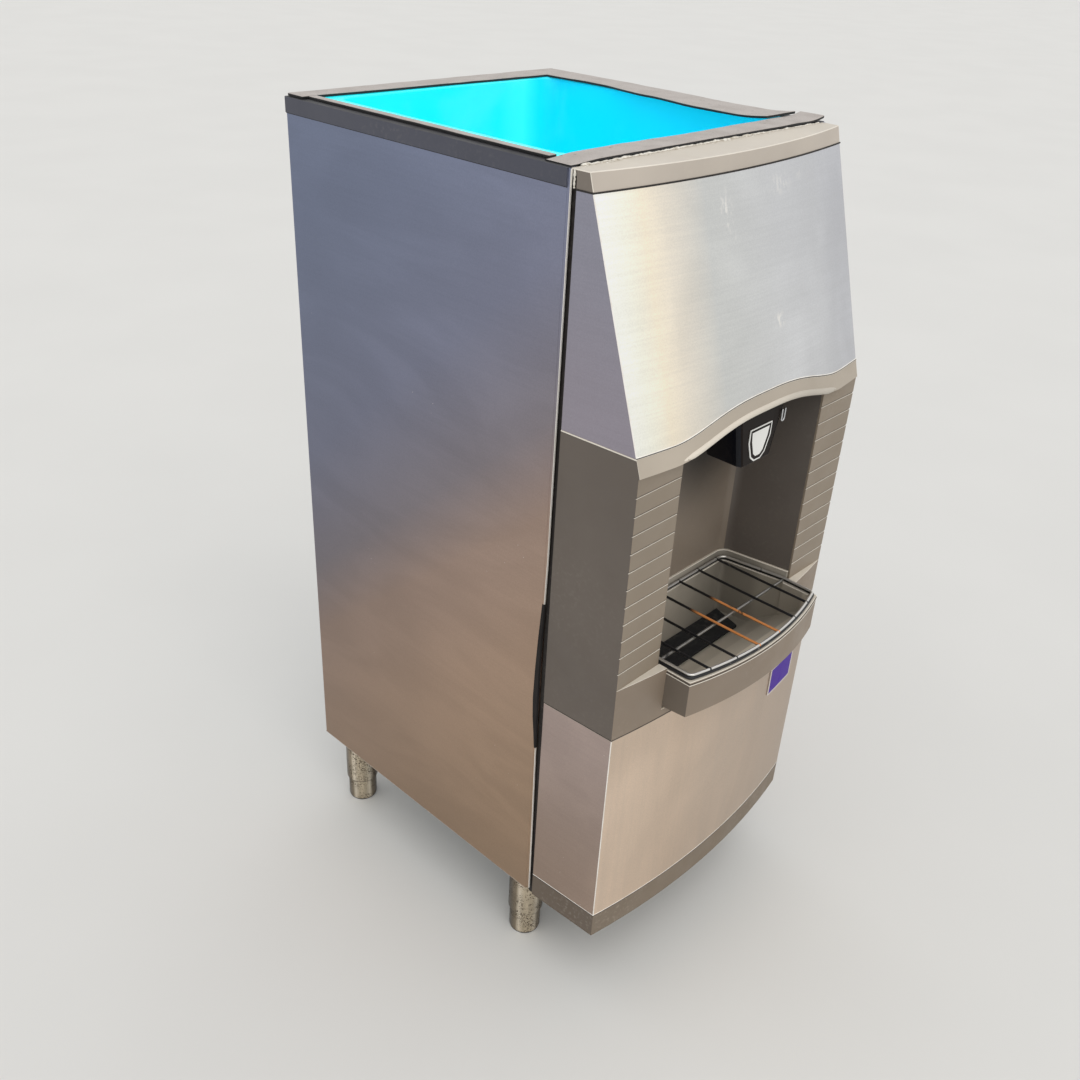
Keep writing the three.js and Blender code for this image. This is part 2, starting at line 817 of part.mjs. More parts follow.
// The grey moulding: side cheeks, ribbed pilasters, the arched trim and the bowed band under the sill
function midFascia() {
  const cheekTop = lipHeight + pilasterOverlap;
  const trimTop = bellyHeight + seamArchRise + overrun;
  const coreLow = lowerSeamHeight - overrun;
  const cheekLevel = (z, inset, rear) => ({ z, outline: fasciaPlan(flatFront, inset, rear) });
  const band = fasciaBody(lowerSeam, sill, lowerSeamHeight + seam, sillHeight);
  const bandHollow = fasciaCore(lowerSeam, sill, coreLow, sillHeight - mouldWall, mouldWall);
  const cheeks = loft([
    cheekLevel(sillHeight - pilasterOverlap, 0, -fasciaRear), cheekLevel(cheekTop, 0, -fasciaRear)]);
  const cheekHollow = loft([
    cheekLevel(coreLow, mouldWall, overrun), cheekLevel(cheekTop + mouldWall, mouldWall, overrun)])
    .intersect(fasciaCore(belly, capLow, coreLow, trimTop, mouldWall));
  const trim = fasciaBody(belly, capLow, lipHeight - overrun, trimTop)
    .subtract(overArch(bellyHeight, seamArchRise)).subtract(underArch(lipHeight, lipArchRise));
  const trimHollow = fasciaCore(belly, capLow, cheekTop + mouldWall, trimTop + overrun, mouldWall);
  const lipHollow = fasciaCore(belly, capLow, lipHeight - overrun * 2, trimTop + overrun, mouldWall)
    .intersect(block([-alcoveHalf, -half, 0], [alcoveHalf, overrun, rimHeight]));
  const mouth = block([-alcoveHalf, -faceFront - seam, sillHeight - overrun], [alcoveHalf, 0, cheekTop]);
  const traySlot = block(
    [-trayHalf - seam, -half, trayLowRear - overrun / 2], [trayHalf + seam, 0, sillHeight + seam]);
  return union([band, cheeks, trim])
    .subtract(union([bandHollow, cheekHollow, trimHollow, lipHollow, mouth, traySlot]))
    .add(lipBead()).subtract(grooves());
}

// The rolled edge along the underside of the arched trim
function lipBead() {
  const points = [];
  for (let i = 0; i <= archSteps; i += 1) {
    const x = lipEnd * (2 * i / archSteps - 1);
    const z = lipHeight + lipArchRise * archRise(x) + lipRadius / 2;
    const { corner, bow } = frontAt(belly, capLow, z);
    const share = x / fasciaHalf(-corner);
    points.push(new THREE.Vector3(x, -corner - bow * (1 - share * share) + mouldWall, z));
  }
  return swept(circleShape(lipRadius, lipSides), new THREE.CatmullRomCurve3(points), archSteps);
}

function grooves() {
  const inner = alcoveHalf - overrun;
  return union(Array.from({ length: grooveCount }, (_, k) => {
    const z = grooveTop - groovePitch * k;
    const cut = (left, right) => block(
      [left, -faceFront - overrun, z - grooveWidth / 2],
      [right, -faceFront + grooveDepth, z + grooveWidth / 2]);
    return cut(-half, -inner).add(cut(inner, half));
  }));
}

function lowerPanel() {
  const sheet = fasciaBody(kickTop, lowerSeam, kickTopHeight + seam, lowerSeamHeight);
  return sheet.subtract(
    fasciaCore(kickTop, lowerSeam, kickTopHeight - overrun, lowerSeamHeight + overrun, sheetWall));
}

function kickTrim() {
  const core = (from) => fasciaCore(kickLow, kickTop, from, kickTopHeight + overrun, mouldWall);
  const behindLip = block([-half, -faceFront + kickLip, 0], [half, 0, kickTopHeight]);
  return fasciaBody(kickLow, kickTop, kickLowHeight, kickTopHeight)
    .subtract(core(kickLowHeight + mouldWall))
    .subtract(core(kickLowHeight - overrun).intersect(behindLip));
}

function badge() {
  const badgeRight = half - badgeInset;
  const badgeLeft = badgeRight - badgeWidth;
  const badgeHigh = lowerSeamHeight - badgeDrop;
  const badgeLow = badgeHigh - badgeHeight;
  const [left, right] = [badgeLeft + badgeCorner, badgeRight - badgeCorner];
  const [low, high] = [badgeLow + badgeCorner, badgeHigh - badgeCorner];
  const plate = prismY([
    [left, badgeLow], [right, badgeLow], [badgeRight, low], [badgeRight, high],
    [right, badgeHigh], [left, badgeHigh], [badgeLeft, high], [badgeLeft, low],
  ], -half, -faceFront);
  const from = badgeLow - overrun;
  const to = badgeHigh + overrun;
  const outer = fasciaBody(kickTop, lowerSeam, from, to, -badgeThickness - seam);
  return outer.subtract(fasciaBody(kickTop, lowerSeam, from, to, -seam, overrun)).intersect(plate);
}

function gasket(sign) {
  const outer = fasciaHalf(0) - gasketSink;
  const [left, right] = [sign * outer, sign * (outer - gasketWidth)].sort((a, b) => a - b);
  const high = capTopHeight - mouldWall - seam;
  return block([left, seam - fasciaRear, kickLowHeight], [right, -seam, high]);
}

piece('top_cap', greyPlastic, topCap());
piece('upper_front_panel', steel, upperPanel());
piece('mid_fascia', greyPlastic, midFascia());
piece('lower_front_panel', steel, lowerPanel());
piece('kick_trim', greyPlastic, kickTrim());
piece('badge_plate', violetPlate, badge());
piece('fascia_gasket_left', blackRubber, gasket(-1));
piece('fascia_gasket_right', blackRubber, gasket(1));

// Alcove and drip tray

// Plan of the alcove from its mouth to its rounded back corners, moved inwards by an inset
function alcovePlan(inset, mouthY) {
  const rear = -alcoveBack - inset;
  const rearHalf = alcoveRearHalf - inset;
  const radius = alcoveCornerRadius - inset;
  const flare = (alcoveHalf - alcoveRearHalf) / (alcoveMouth - alcoveBack - alcoveCornerRadius);
  const right = [
    [alcoveHalf - inset - flare * (mouthY + alcoveMouth), mouthY],
    ...arc([rearHalf - radius, rear - radius], radius, 0, Math.PI / 2, grilleCornerSteps),
  ];
  return [...right, ...mirrored(right)];
}

function alcoveLiner() {
  const low = upstandHeight + seam;
  const high = alcoveCeiling + alcoveWall;
  const outer = prismZ(alcovePlan(-alcoveWall, -alcoveMouth), low, high);
  const inner = prismZ(alcovePlan(0, -alcoveMouth - overrun), low - overrun, alcoveCeiling);
  const notch = block([-chuteNotchHalf, -half, alcoveCeiling - overrun],
    [chuteNotchHalf, -chuteNotchBack, high + overrun]);
  return outer.subtract(inner).subtract(notch);
}

// The bowed front of the tray, moved inwards by an inset, from left to right
function trayBowLine(inset) {
  return Array.from({ length: bowSteps + 1 }, (_, i) => {
    const share = 2 * i / bowSteps - 1;
    return [(trayHalf - inset) * share, -trayFront + inset - trayBow * (1 - share * share)];
  });
}

function trayPlan(inset, alcoveInset) {
  const right = [
    [trayHalf - inset, -alcoveMouth],
    ...alcovePlan(alcoveInset, -alcoveMouth).slice(0, grilleCornerSteps + 2),
  ];
  return [...trayBowLine(inset), ...right, ...mirrored(right)];
}

function sinkBasin() {
  const deepest = trenchFloor - trenchSole;
  const outline = [
    [-half, trayRim - trayFrontDepth], [-trayLowRearAt, trayLowRear], [-trenchFront - trenchSole, deepest],
    [0, deepest], [0, upstandHeight],
    [-alcoveMouth, upstandHeight], [-alcoveMouth, trayRim], [-half, trayRim],
  ];
  const body = prismZ(trayPlan(0, -alcoveWall), deepest - overrun, upstandHeight + overrun)
    .intersect(prismX(outline, -half, half));
  const upstand = prismZ(alcovePlan(trayStep, -alcoveMouth - overrun), trayRim, upstandHeight + overrun);
  const bowl = prismZ(trayPlan(rimWidth, trayStep + ledgeWidth), deepest, trayRim + overrun);
  const bowlSide = prismX([
    [-half, trayRim], [-trayFront - rimWidth, trayRim - rampTopDepth],
    [-rampMiddleAt, trayRim - rampMiddleDepth],
    [-trenchFront, trenchFloor], [0, trenchFloor], [0, trayRim + overrun], [-half, trayRim + overrun],
  ], -half, half);
  const spigot = cylinderZ(hoseRadius, spigotLow, deepest + trenchSole / 2, 0, -drainAt, smallSides);
  const bore = cylinderZ(hoseBore, spigotLow - overrun, trenchFloor + overrun, 0, -drainAt, smallSides);
  return body.subtract(upstand).subtract(bowl.intersect(bowlSide)).add(spigot).subtract(bore);
}

function mat() {
  const low = trenchFloor + seam;
  const corner = matCorner;
  return prismZ([
    [-matHalf + corner, -matFront], [matHalf - corner, -matFront], [matHalf, -matFront + corner],
    [matHalf, -matBack - corner], [matHalf - corner, -matBack], [-matHalf + corner, -matBack],
    [-matHalf, -matBack - corner], [-matHalf, -matFront + corner],
  ], low, low + matThickness);
}

// The closed loop that the grille's rim wires follow
function grilleLoop() {
  const inset = rimWidth / 2;
  const back = trayStep + ledgeWidth / 2;
  const bow = trayBowLine(inset).slice(1, -1);
  const corner = [trayHalf - inset - grilleCornerRadius, -trayFront + inset + grilleCornerRadius / 2];
  const side = alcovePlan(back, -alcoveMouth).slice(0, grilleCornerSteps + 2);
  const frontRight = arc(corner, grilleCornerRadius, -Math.PI / 3, 0, grilleCornerSteps);
  return [...bow, ...frontRight, ...side, ...mirrored(side), ...mirrored(frontRight)];
}

// Where a wire at x meets the front and the back of the loop
function grilleReach(x) {
  const inset = rimWidth / 2;
  const share = x / (trayHalf - inset);
  return [-trayFront + inset - trayBow * (1 - share * share), -alcoveBack - trayStep - ledgeWidth / 2];
}

function grille() {
  const loop = grilleLoop();
  const high = gridLevel + ringLift;
  const bars = Array.from({ length: barCount }, (_, k) => {
    const x = barPitch * (k - (barCount - 1) / 2);
    const [front, back] = grilleReach(x);
    return cylinderY(barWire, front, back, x, high, wireSides);
  });
  const crossHalf = alcoveHalf - trayStep - ledgeWidth / 2;
  const crossBar = cylinderX(ringWire, -crossHalf, crossHalf, -crossBarAt, gridLevel, wireSides);
  return union([wireLoop(loop, ringWire, gridLevel), wireLoop(loop, ringWire, high), crossBar, ...bars]);
}

// A drain hose that drops from its inlet, bends and runs to the back
function drainHose(x, y, top) {
  const back = cabinetDepth - outletInside - seam;
  const path = new THREE.CurvePath();
  const corner = new THREE.Vector3(x, y, hoseLevel);
  const above = new THREE.Vector3(x, y, hoseLevel + hoseBend);
  const behind = new THREE.Vector3(x, y + hoseBend, hoseLevel);
  path.add(new THREE.LineCurve3(new THREE.Vector3(x, y, top), above));
  path.add(new THREE.QuadraticBezierCurve3(above, corner, behind));
  path.add(new THREE.LineCurve3(behind, new THREE.Vector3(x, back, hoseLevel)));
  const steps = Math.round(path.getLength() / hoseRadius / 2);
  return swept(circleShape(hoseRadius, hoseSides, hoseBore), path, steps);
}

function outlet(x) {
  const inside = cabinetDepth - outletInside;
  const face = rearPanelBack + seam;
  return turnedBack([
    [hoseBore, inside], [hoseRadius, inside], [hoseRadius, face], [outletFlangeRadius, face],
    [outletFlangeRadius, face + outletFlange], [hoseRadius, face + outletFlange],
    [hoseRadius, cabinetDepth + outletNipple], [hoseBore, cabinetDepth + outletNipple], [hoseBore, inside],
  ], x, hoseLevel, smallSides);
}

piece('alcove_liner', darkPlastic, alcoveLiner());
piece('sink_basin', greyPlastic, sinkBasin());
piece('sink_mat', blackRubber, mat());
piece('wire_grille', coatedWire, grille());
piece('sink_drain_hose', whitePlastic, drainHose(0, -drainAt, spigotLow - seam));
piece('bin_drain_hose', whitePlastic, drainHose(binDrainX, binDrainAt, binFloor - binWall - seam));
piece('sink_drain_outlet', whitePlastic, outlet(0));
piece('bin_drain_outlet', whitePlastic, outlet(binDrainX));

// Legs

function legTube(x, y) {
  const low = footHeight + seam;
  const high = legHeight - seam;
  return turned([
    [0, low + stemBore], [stemRadius + runGap, low + stemBore], [stemRadius + runGap, low], [legRadius, low],
    [legRadius, high], [legStud, high], [legStud, high + legStudLength], [0, high + legStudLength],
  ], x, y);
}

function foot(x, y) {
  return turned([
    [0, 0], [footRadius - footChamfer, 0], [footRadius, footChamfer], [footRadius, footHeight],
    [stemRadius, footHeight], [stemRadius, footHeight + stemLength], [0, footHeight + stemLength],
  ], x, y);
}

legPlaces.forEach(([place, x, y]) => {
  piece(`leg_tube_${place}`, legSteel, legTube(x, y));
  piece(`levelling_foot_${place}`, legSteel, foot(x, y));
});

// Drive of the dispensing wheel

function gearbox() {
  const body = prismY(gearboxOutline(0), innerFront, innerFront + gearboxDepth);
  return body.subtract(cylinderY(shaftRadius + runGap, shaftStart - seam, binFront, 0, wheelHeight));
}

function motor() {
  const back = bulkheadBack;
  const can = cylinderY(motorRadius, -motorNose, back, motorX, motorHeight);
  return can.add(cylinderY(motorCapRadius, -motorNose - motorCap, back, motorX, motorHeight));
}

function bush() {
  const front = innerFront + gearboxDepth + seam;
  const outer = cylinderY(bushRadius, front, binFront, 0, wheelHeight);
  return outer.subtract(cylinderY(shaftRadius + runGap, front - overrun, binFront + overrun, 0, wheelHeight));
}

function wheel() {
  const back = wheelFront + wheelWidth;
  const blades = Array.from({ length: bladeCount }, (_, k) => {
    const blade = block([0, wheelFront, -bladeThickness / 2], [wheelRadius, back, bladeThickness / 2]);
    return blade.rotate([0, 360 * (k + 1 / 2) / bladeCount, 0]).translate([0, 0, wheelHeight]);
  });
  const hub = cylinderY(hubRadius, wheelFront - hubOverhang, back + hubOverhang, 0, wheelHeight);
  return union([hub, ...blades])
    .subtract(cylinderY(shaftRadius + seam, binFront, shaftEnd, 0, wheelHeight));
}

function agitator() {
  const back = agitatorAt + agitatorWidth;
  const middle = (agitatorAt + back) / 2;
  const hub = cylinderY(agitatorHub, agitatorAt, back, 0, wheelHeight);
  const rod = cylinderX(agitatorRod, -agitatorReach, agitatorReach, middle, wheelHeight, smallSides);
  return hub.add(rod).subtract(cylinderY(shaftRadius + seam, binFront, shaftEnd + overrun, 0, wheelHeight));
}

piece('gearbox', motorPaint, gearbox());
piece('drive_motor', motorPaint, motor());
piece('shaft_bush', whitePlastic, bush());
piece('drive_shaft', steel, cylinderY(shaftRadius, shaftStart, shaftEnd, 0, wheelHeight));
piece('paddle_wheel', whitePlastic, wheel());
piece('agitator_bar', steel, agitator());

// Outlet throat, gate and solenoid

// The duct that takes ice from the bin to the chute, grown outwards by its wall or a clearance
function throatBody(grow) {
  return prismX([
    [binFront + overrun, throatFloorBack - grow], [binFront + overrun, throatRoofBack + grow],
    [-throatNose - overrun, throatRoofFront + grow], [-throatNose - overrun, throatFloorFront - grow],
  ], -throatHalf - grow, throatHalf + grow);
}

// A rod along the gate's hinge line
function gateRod(radius, reach) {
  return cylinderX(radius, -reach, reach, gateHingeY, gateHingeHeight, smallSides);
}

function gateLug(sign) {
  const inner = gateSleeveHalf + lugGap;
  const [left, right] = [sign * inner, sign * (inner + lugThickness)].sort((a, b) => a - b);
  const low = throatRoofFront + seam;
  return block([left, gateHingeY - lugReach, low], [right, lugBack - throatNose, gateHingeHeight + lugHead]);
}

function throat() {
  const span = block([-half, -throatNose, 0], [half, binFront - seam, rimHeight]);
  const duct = throatBody(throatWall).intersect(span).subtract(throatBody(0));
  return union([duct, gateLug(-1), gateLug(1)])
    .subtract(gateRod(gatePinRadius + runGap, half));
}

function gateArm() {
  const low = gateHingeHeight - armTail;
  const left = throatHalf + throatWall + armGap;
  const arm = block([left, gateHingeY - armHalf, low],
    [left + armThickness, gateHingeY + gateHingeAhead - seam, gateHingeHeight + armHead]);
  const slot = block([left - overrun, gateHingeY - armSlotWidth / 2, gateHingeHeight + armSlotLow],
    [left + overrun, gateHingeY + armSlotWidth / 2, gateHingeHeight + armSlotHigh]);
  return arm.subtract(slot);
}

function gate() {
  const back = -throatNose - seam;
  const wide = throatHalf + throatWall;
  const plateTop = throatRoofFront - gateGap;
  const plate = block([-wide, back - gateThickness, throatFloorFront - gateDrop], [wide, back, plateTop]);
  const bridge = block([wide - overrun, back - gateThickness, gateHingeHeight - armTail],
    [wide + armGap + armThickness, back, plateTop]);
  const neck = block([-gateSleeveHalf, back - gateThickness, plateTop - gateGap],
    [gateSleeveHalf, back, gateHingeHeight]);
  return union([plate, bridge, neck, gateRod(gateSleeve, gateSleeveHalf), gateArm()])
    .subtract(gateRod(gatePinRadius + runGap, gateSleeveHalf + lugGap));
}

const plungerX = throatHalf + throatWall + armGap + solenoidSize / 2;
const plungerHeight = gateHingeHeight + armLift;

function solenoid() {
  const reach = solenoidSize / 2;
  const body = block([plungerX - reach, -solenoidReach, plungerHeight - reach],
    [plungerX + reach, bulkheadFront - seam, plungerHeight + reach]);
  return body.subtract(cylinderY(plungerRadius + runGap, -half, half, plungerX, plungerHeight, smallSides));
}

function plunger() {
  const front = gateHingeY - plungerNose;
  const rod = cylinderY(plungerRadius, front, -plungerEnd, plungerX, plungerHeight, smallSides);
  const left = throatHalf + throatWall + armGap - pinTail;
  return rod.add(cylinderX(crossPinRadius, left, plungerX, gateHingeY, plungerHeight, smallSides));
}

piece('outlet_throat', darkPlastic, throat());
piece('gate_hinge_pin', steel, gateRod(gatePinRadius, gateSleeveHalf + lugGap + lugThickness + pinTail));
piece('ice_gate', steel, gate());
piece('gate_solenoid', copperCoil, solenoid());
piece('solenoid_plunger', steel, plunger());

// Rocking chute, its brackets and its switch

function chutePlan(reach, back, inset) {
  const radius = chuteCorner;
  const x = reach - inset - radius;
  const front = -chuteFront + inset + radius;
  const rear = -back - inset - radius;
  return [
    ...arc([-x, front], radius, -Math.PI, -Math.PI / 2, chuteCornerSteps),
    ...arc([x, front], radius, -Math.PI / 2, 0, chuteCornerSteps),
    ...arc([x, rear], radius, 0, Math.PI / 2, chuteCornerSteps),
    ...arc([-x, rear], radius, Math.PI / 2, Math.PI, chuteCornerSteps),
  ];
}

function chuteBody(inset, past) {
  const rise = chuteTop - chuteLow;
  const level = (share) => ({
    z: chuteLow + rise * share,
    outline: chutePlan(chuteLowHalf + (chuteTopHalf - chuteLowHalf) * share,
      chuteLowBack + (chuteTopBack - chuteLowBack) * share, inset),
  });
  return loft([level(-past / rise), level(1 + past / rise)]);
}

function chuteEar(sign) {
  const middle = sign * chuteTopHalf;
  return block(
    [middle - earThickness / 2, -pivotAt - earHalf, chuteTop - earRoot],
    [middle + earThickness / 2, -pivotAt + earHalf, pivotHeight + earHead]);
}

function chute() {
  const tab = block([chuteTopHalf, -tabAhead, tabLow], [tabEnd, -tabBack, tabLow + tabThickness]);
  const tabRoot = block([chuteTopHalf - earThickness / 2, -pivotAt, tabLow],
    [chuteTopHalf + earThickness / 2, -tabBack, tabLow + tabThickness]);
  const shell = chuteBody(0, 0).subtract(chuteBody(chuteWall, overrun));
  return union([shell, chuteEar(-1), chuteEar(1), tabRoot, tab])
    .subtract(cylinderX(pivotRadius + runGap, -half, half, -pivotAt, pivotHeight, smallSides));
}

function chuteBracket(sign) {
  const foot = alcoveCeiling + alcoveWall + seam;
  const front = -pivotAt - bracketFront;
  const back = -pivotAt + bracketFront;
  const plate = block([bracketAt, front, foot], [bracketAt + bracketPlate, back, pivotHeight + bracketHead]);
  const flange = block([bracketAt, front, foot], [bracketAt + bracketFoot, back, foot + bracketPlate]);
  const root = bracketAt + bracketPlate / 2;
  const stub = cylinderX(pivotRadius, stubEnd, root, -pivotAt, pivotHeight, smallSides);
  const right = union([plate, flange, stub]);
  return sign > 0 ? right : right.mirror([1, 0, 0]);
}

function microswitch() {
  const body = block([switchLeft, -switchAhead, switchLow], [bracketAt - seam, -switchBack, switchHigh]);
  const reach = buttonSize / 2 + runGap;
  return body.subtract(block([buttonX - reach, -buttonAt - reach, switchLow - overrun],
    [buttonX + reach, -buttonAt + reach, switchLow + buttonBore]));
}

function switchButton() {
  const reach = buttonSize / 2;
  const low = tabLow + tabThickness + seam;
  const high = switchLow + buttonInside;
  return block([buttonX - reach, -buttonAt - reach, low], [buttonX + reach, -buttonAt + reach, high]);
}

class Helix extends THREE.Curve {
  getPoint(t, target = new THREE.Vector3()) {
    const angle = 2 * Math.PI * springTurns * t;
    return target.set(
      -springStart - springLength * t,
      -pivotAt + springRadius * Math.cos(angle),
      pivotHeight + springRadius * Math.sin(angle));
  }
}

function label() {
  const low = chuteLow + labelRise - labelHeight;
  const rightShares = [[0.3, 0], [0.67, 0.15], [1, 0.6], [1, 1]];
  const right = rightShares.map(([across, up]) => [labelHalf * across, low + labelHeight * up]);
  return prismY([...right, ...mirrored(right)], -labelFront, -chuteFront - seam);
}

piece('ice_chute', blackPlastic, chute());
piece('chute_label_plate', whiteLabel, label());
piece('chute_bracket_left', galvanised, chuteBracket(-1));
piece('chute_bracket_right', galvanised, chuteBracket(1));
piece('chute_spring', steel,
  swept(circleShape(springWire, springSides), new Helix(), springTurns * springSteps));
piece('chute_switch', blackPlastic, microswitch());
piece('switch_button', whitePlastic, switchButton());

// Control box and cord gland

const controlLeft = half - controlInset;
const controlRight = controlLeft - controlWidth;
const controlLow = legHeight + controlRise;
const controlHigh = controlLow + controlHeight;

function controlBox() {
  const low = [-controlLeft, bulkheadFront - seam - controlDepth, controlLow];
  const high = [-controlRight, bulkheadFront - seam, controlHigh];
  const hollow = block([low[0] + controlWall, low[1] - overrun, low[2] + controlWall],
    [high[0] - controlWall, high[1] - controlWall, high[2] - controlWall]);
  return block(low, high).subtract(hollow);
}

function controlLid() {
  const back = bulkheadFront - seam * 2 - controlDepth;
  return block([-controlLeft, back - controlWall, controlLow], [-controlRight, back, controlHigh]);
}

function gland() {
  const face = rearPanelBack + seam;
  return turnedBack([
    [glandBore, cabinetDepth - glandInside], [glandRadius, cabinetDepth - glandInside], [glandRadius, face],
    [glandNut, face], [glandNut, face + glandNutDepth], [glandRadius, cabinetDepth + glandOutside],
    [glandBore, cabinetDepth + glandOutside], [glandBore, cabinetDepth - glandInside],
  ], -glandX, glandHeight, smallSides);
}

piece('control_box', galvanised, controlBox());
piece('control_box_lid', galvanised, controlLid());
piece('cord_gland', blackPlastic, gland());

// The origin is on the floor, under the middle of the object
const frontReach = trayFront + trayBow;
const backReach = cabinetDepth + outletNipple;
dispenser.position.y = (frontReach - backReach) / 2;

export default dispenser;
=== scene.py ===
import math
import random
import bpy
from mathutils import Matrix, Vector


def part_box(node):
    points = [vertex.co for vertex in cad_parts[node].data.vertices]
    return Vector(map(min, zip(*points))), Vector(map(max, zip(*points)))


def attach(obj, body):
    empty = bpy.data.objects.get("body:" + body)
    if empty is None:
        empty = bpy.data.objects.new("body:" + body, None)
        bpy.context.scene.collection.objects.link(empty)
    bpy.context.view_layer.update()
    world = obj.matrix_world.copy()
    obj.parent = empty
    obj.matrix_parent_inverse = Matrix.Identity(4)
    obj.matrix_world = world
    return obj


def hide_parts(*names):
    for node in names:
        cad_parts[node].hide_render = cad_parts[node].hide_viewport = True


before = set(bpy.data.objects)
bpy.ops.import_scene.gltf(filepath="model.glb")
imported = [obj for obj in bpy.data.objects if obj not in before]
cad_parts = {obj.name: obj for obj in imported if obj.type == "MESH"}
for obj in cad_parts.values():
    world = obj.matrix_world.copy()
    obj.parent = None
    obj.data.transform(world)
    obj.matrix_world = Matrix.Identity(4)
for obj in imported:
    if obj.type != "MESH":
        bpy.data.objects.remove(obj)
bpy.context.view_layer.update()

from types import SimpleNamespace

import bmesh
import bpy
from mathutils import Matrix, Vector, noise

mm = 0.001

# The camera stands where the photograph was taken
print("camera")
viewpoint = dict(place=(-1.260576, -1.051966, 1.609313), heading=47.809, dip=30.434, roll=3.198, lens=36.794)


def addCamera():
    heading, dip, roll = (math.radians(viewpoint[key]) for key in ("heading", "dip", "roll"))
    right = Vector((math.cos(heading), -math.sin(heading), 0))
    ahead = Vector((math.sin(heading) * math.cos(dip), math.cos(heading) * math.cos(dip), -math.sin(dip)))
    up = right.cross(ahead)
    across = right * math.cos(roll) + up * math.sin(roll)
    upright = up * math.cos(roll) - right * math.sin(roll)
    lensData = bpy.data.cameras.new("photoCamera")
    lensData.lens = viewpoint["lens"]
    camera = bpy.data.objects.new("photoCamera", lensData)
    bpy.context.scene.collection.objects.link(camera)
    turn = Matrix((across, upright, -ahead)).transposed().to_4x4()
    camera.matrix_world = Matrix.Translation(viewpoint["place"]) @ turn
    bpy.context.scene.camera = camera


addCamera()

# Finishes
print("finishes")


def paint(code):  # "#rrggbb" as the shader takes it
    parts = [int(code[i:i + 2], 16) / 255 for i in (1, 3, 5)]
    return [p / 12.92 if p <= 0.04045 else ((p + 0.055) / 1.055) ** 2.4 for p in parts] + [1.0]


class NodeTree:
    def __init__(self, tree):
        self.nodes = tree.nodes
        self.links = tree.links

    def feed(self, socket, value):
        if isinstance(value, bpy.types.NodeSocket):
            self.links.new(value, socket)
        elif isinstance(value, str):
            socket.default_value = paint(value)[:len(socket.default_value)]
        else:
            socket.default_value = value

    def add(self, kind, sockets=None, **options):
        node = self.nodes.new("ShaderNode" + kind)
        for key, value in options.items():
            setattr(node, key, value)
        for socket, value in (sockets or {}).items():
            self.feed(node.inputs[socket], value)
        return node

    def maths(self, operation, first, second):
        return self.add("Math", {0: first, 1: second}, operation=operation).outputs[0]


class Finish(NodeTree):
    def __init__(self, colour, sockets):
        self.material = bpy.data.materials.new("finish")
        self.material.use_nodes = True
        super().__init__(self.material.node_tree)
        self.shader = self.nodes["Principled BSDF"]
        self.place = self.add("TexCoord").outputs["Object"]
        self.normal = None
        for socket, value in {"Base Color": colour, **sockets}.items():
            self.feed(self.shader.inputs[socket], value)

    def stretched(self, scale, turn):
        return self.add("Mapping", {"Vector": self.place, "Scale": scale, "Rotation": turn}).outputs[0]

    def noise(self, scale, detail=3.0, stretch=None, distortion=0.0, turn=(0, 0, 0)):
        place = self.stretched(stretch, turn) if stretch else self.place
        sockets = {"Vector": place, "Scale": scale, "Detail": detail, "Distortion": distortion}
        return self.add("TexNoise", sockets).outputs[0]

    def cells(self, scale):
        return self.add("TexVoronoi", {"Vector": self.place, "Scale": scale}).outputs[0]

    def span(self, value, low, high, toLow=0.0, toHigh=1.0):
        sockets = {"Value": value, "From Min": low, "From Max": high, "To Min": toLow, "To Max": toHigh}
        return self.add("MapRange", sockets, interpolation_type="SMOOTHSTEP").outputs[0]

    def patches(self, scale, detail, low, high, toLow=0.0, toHigh=1.0, **shape):
        return self.span(self.noise(scale, detail, **shape), low, high, toLow, toHigh)

    def times(self, first, second):
        return self.maths("MULTIPLY", first, second)

    def mix(self, factor, first, second):
        return self.add("Mix", {0: factor, 6: first, 7: second}, data_type="RGBA").outputs[2]

    def scaled(self, colour, value):
        return self.add("VectorMath", {0: colour, 3: value}, operation="SCALE").outputs[0]

    def axis(self, letter):
        return self.add("SeparateXYZ", {0: self.place}).outputs["XYZ".index(letter)]

    def towards(self, direction, vector=None):
        sockets = {0: vector or self.place, 1: direction}
        return self.add("VectorMath", sockets, operation="DOT_PRODUCT").outputs["Value"]

    def facing(self, direction):
        return self.towards(direction, self.add("NewGeometry").outputs["Normal"])

    def ramp(self, value, stops):
        node = self.add("ValToRGB", {0: value})
        elements = node.color_ramp.elements
        while len(elements) < len(stops):
            elements.new(0.5)
        for element, (position, code) in zip(elements, stops):
            element.position = position
            element.color = paint(code)
        return node.outputs[0]

    def spot(self, centre, reach, squeeze=(1, 1, 1)):
        place = self.add("VectorMath", {0: self.place, 1: centre}, operation="SUBTRACT").outputs[0]
        place = self.add("VectorMath", {0: place, 1: squeeze}, operation="MULTIPLY").outputs[0]
        length = self.add("VectorMath", {0: place}, operation="LENGTH").outputs["Value"]
        return self.span(length, 0.0, reach, 1.0, 0.0)

    def bump(self, height, strength, distance):
        sockets = {"Height": height, "Strength": strength, "Distance": distance}
        if self.normal:
            sockets["Normal"] = self.normal
        self.normal = self.add("Bump", sockets).outputs[0]
        self.feed(self.shader.inputs["Normal"], self.normal)

    def colour(self, value):
        self.feed(self.shader.inputs["Base Color"], value)

    def rough(self, value):
        self.feed(self.shader.inputs["Roughness"], value)


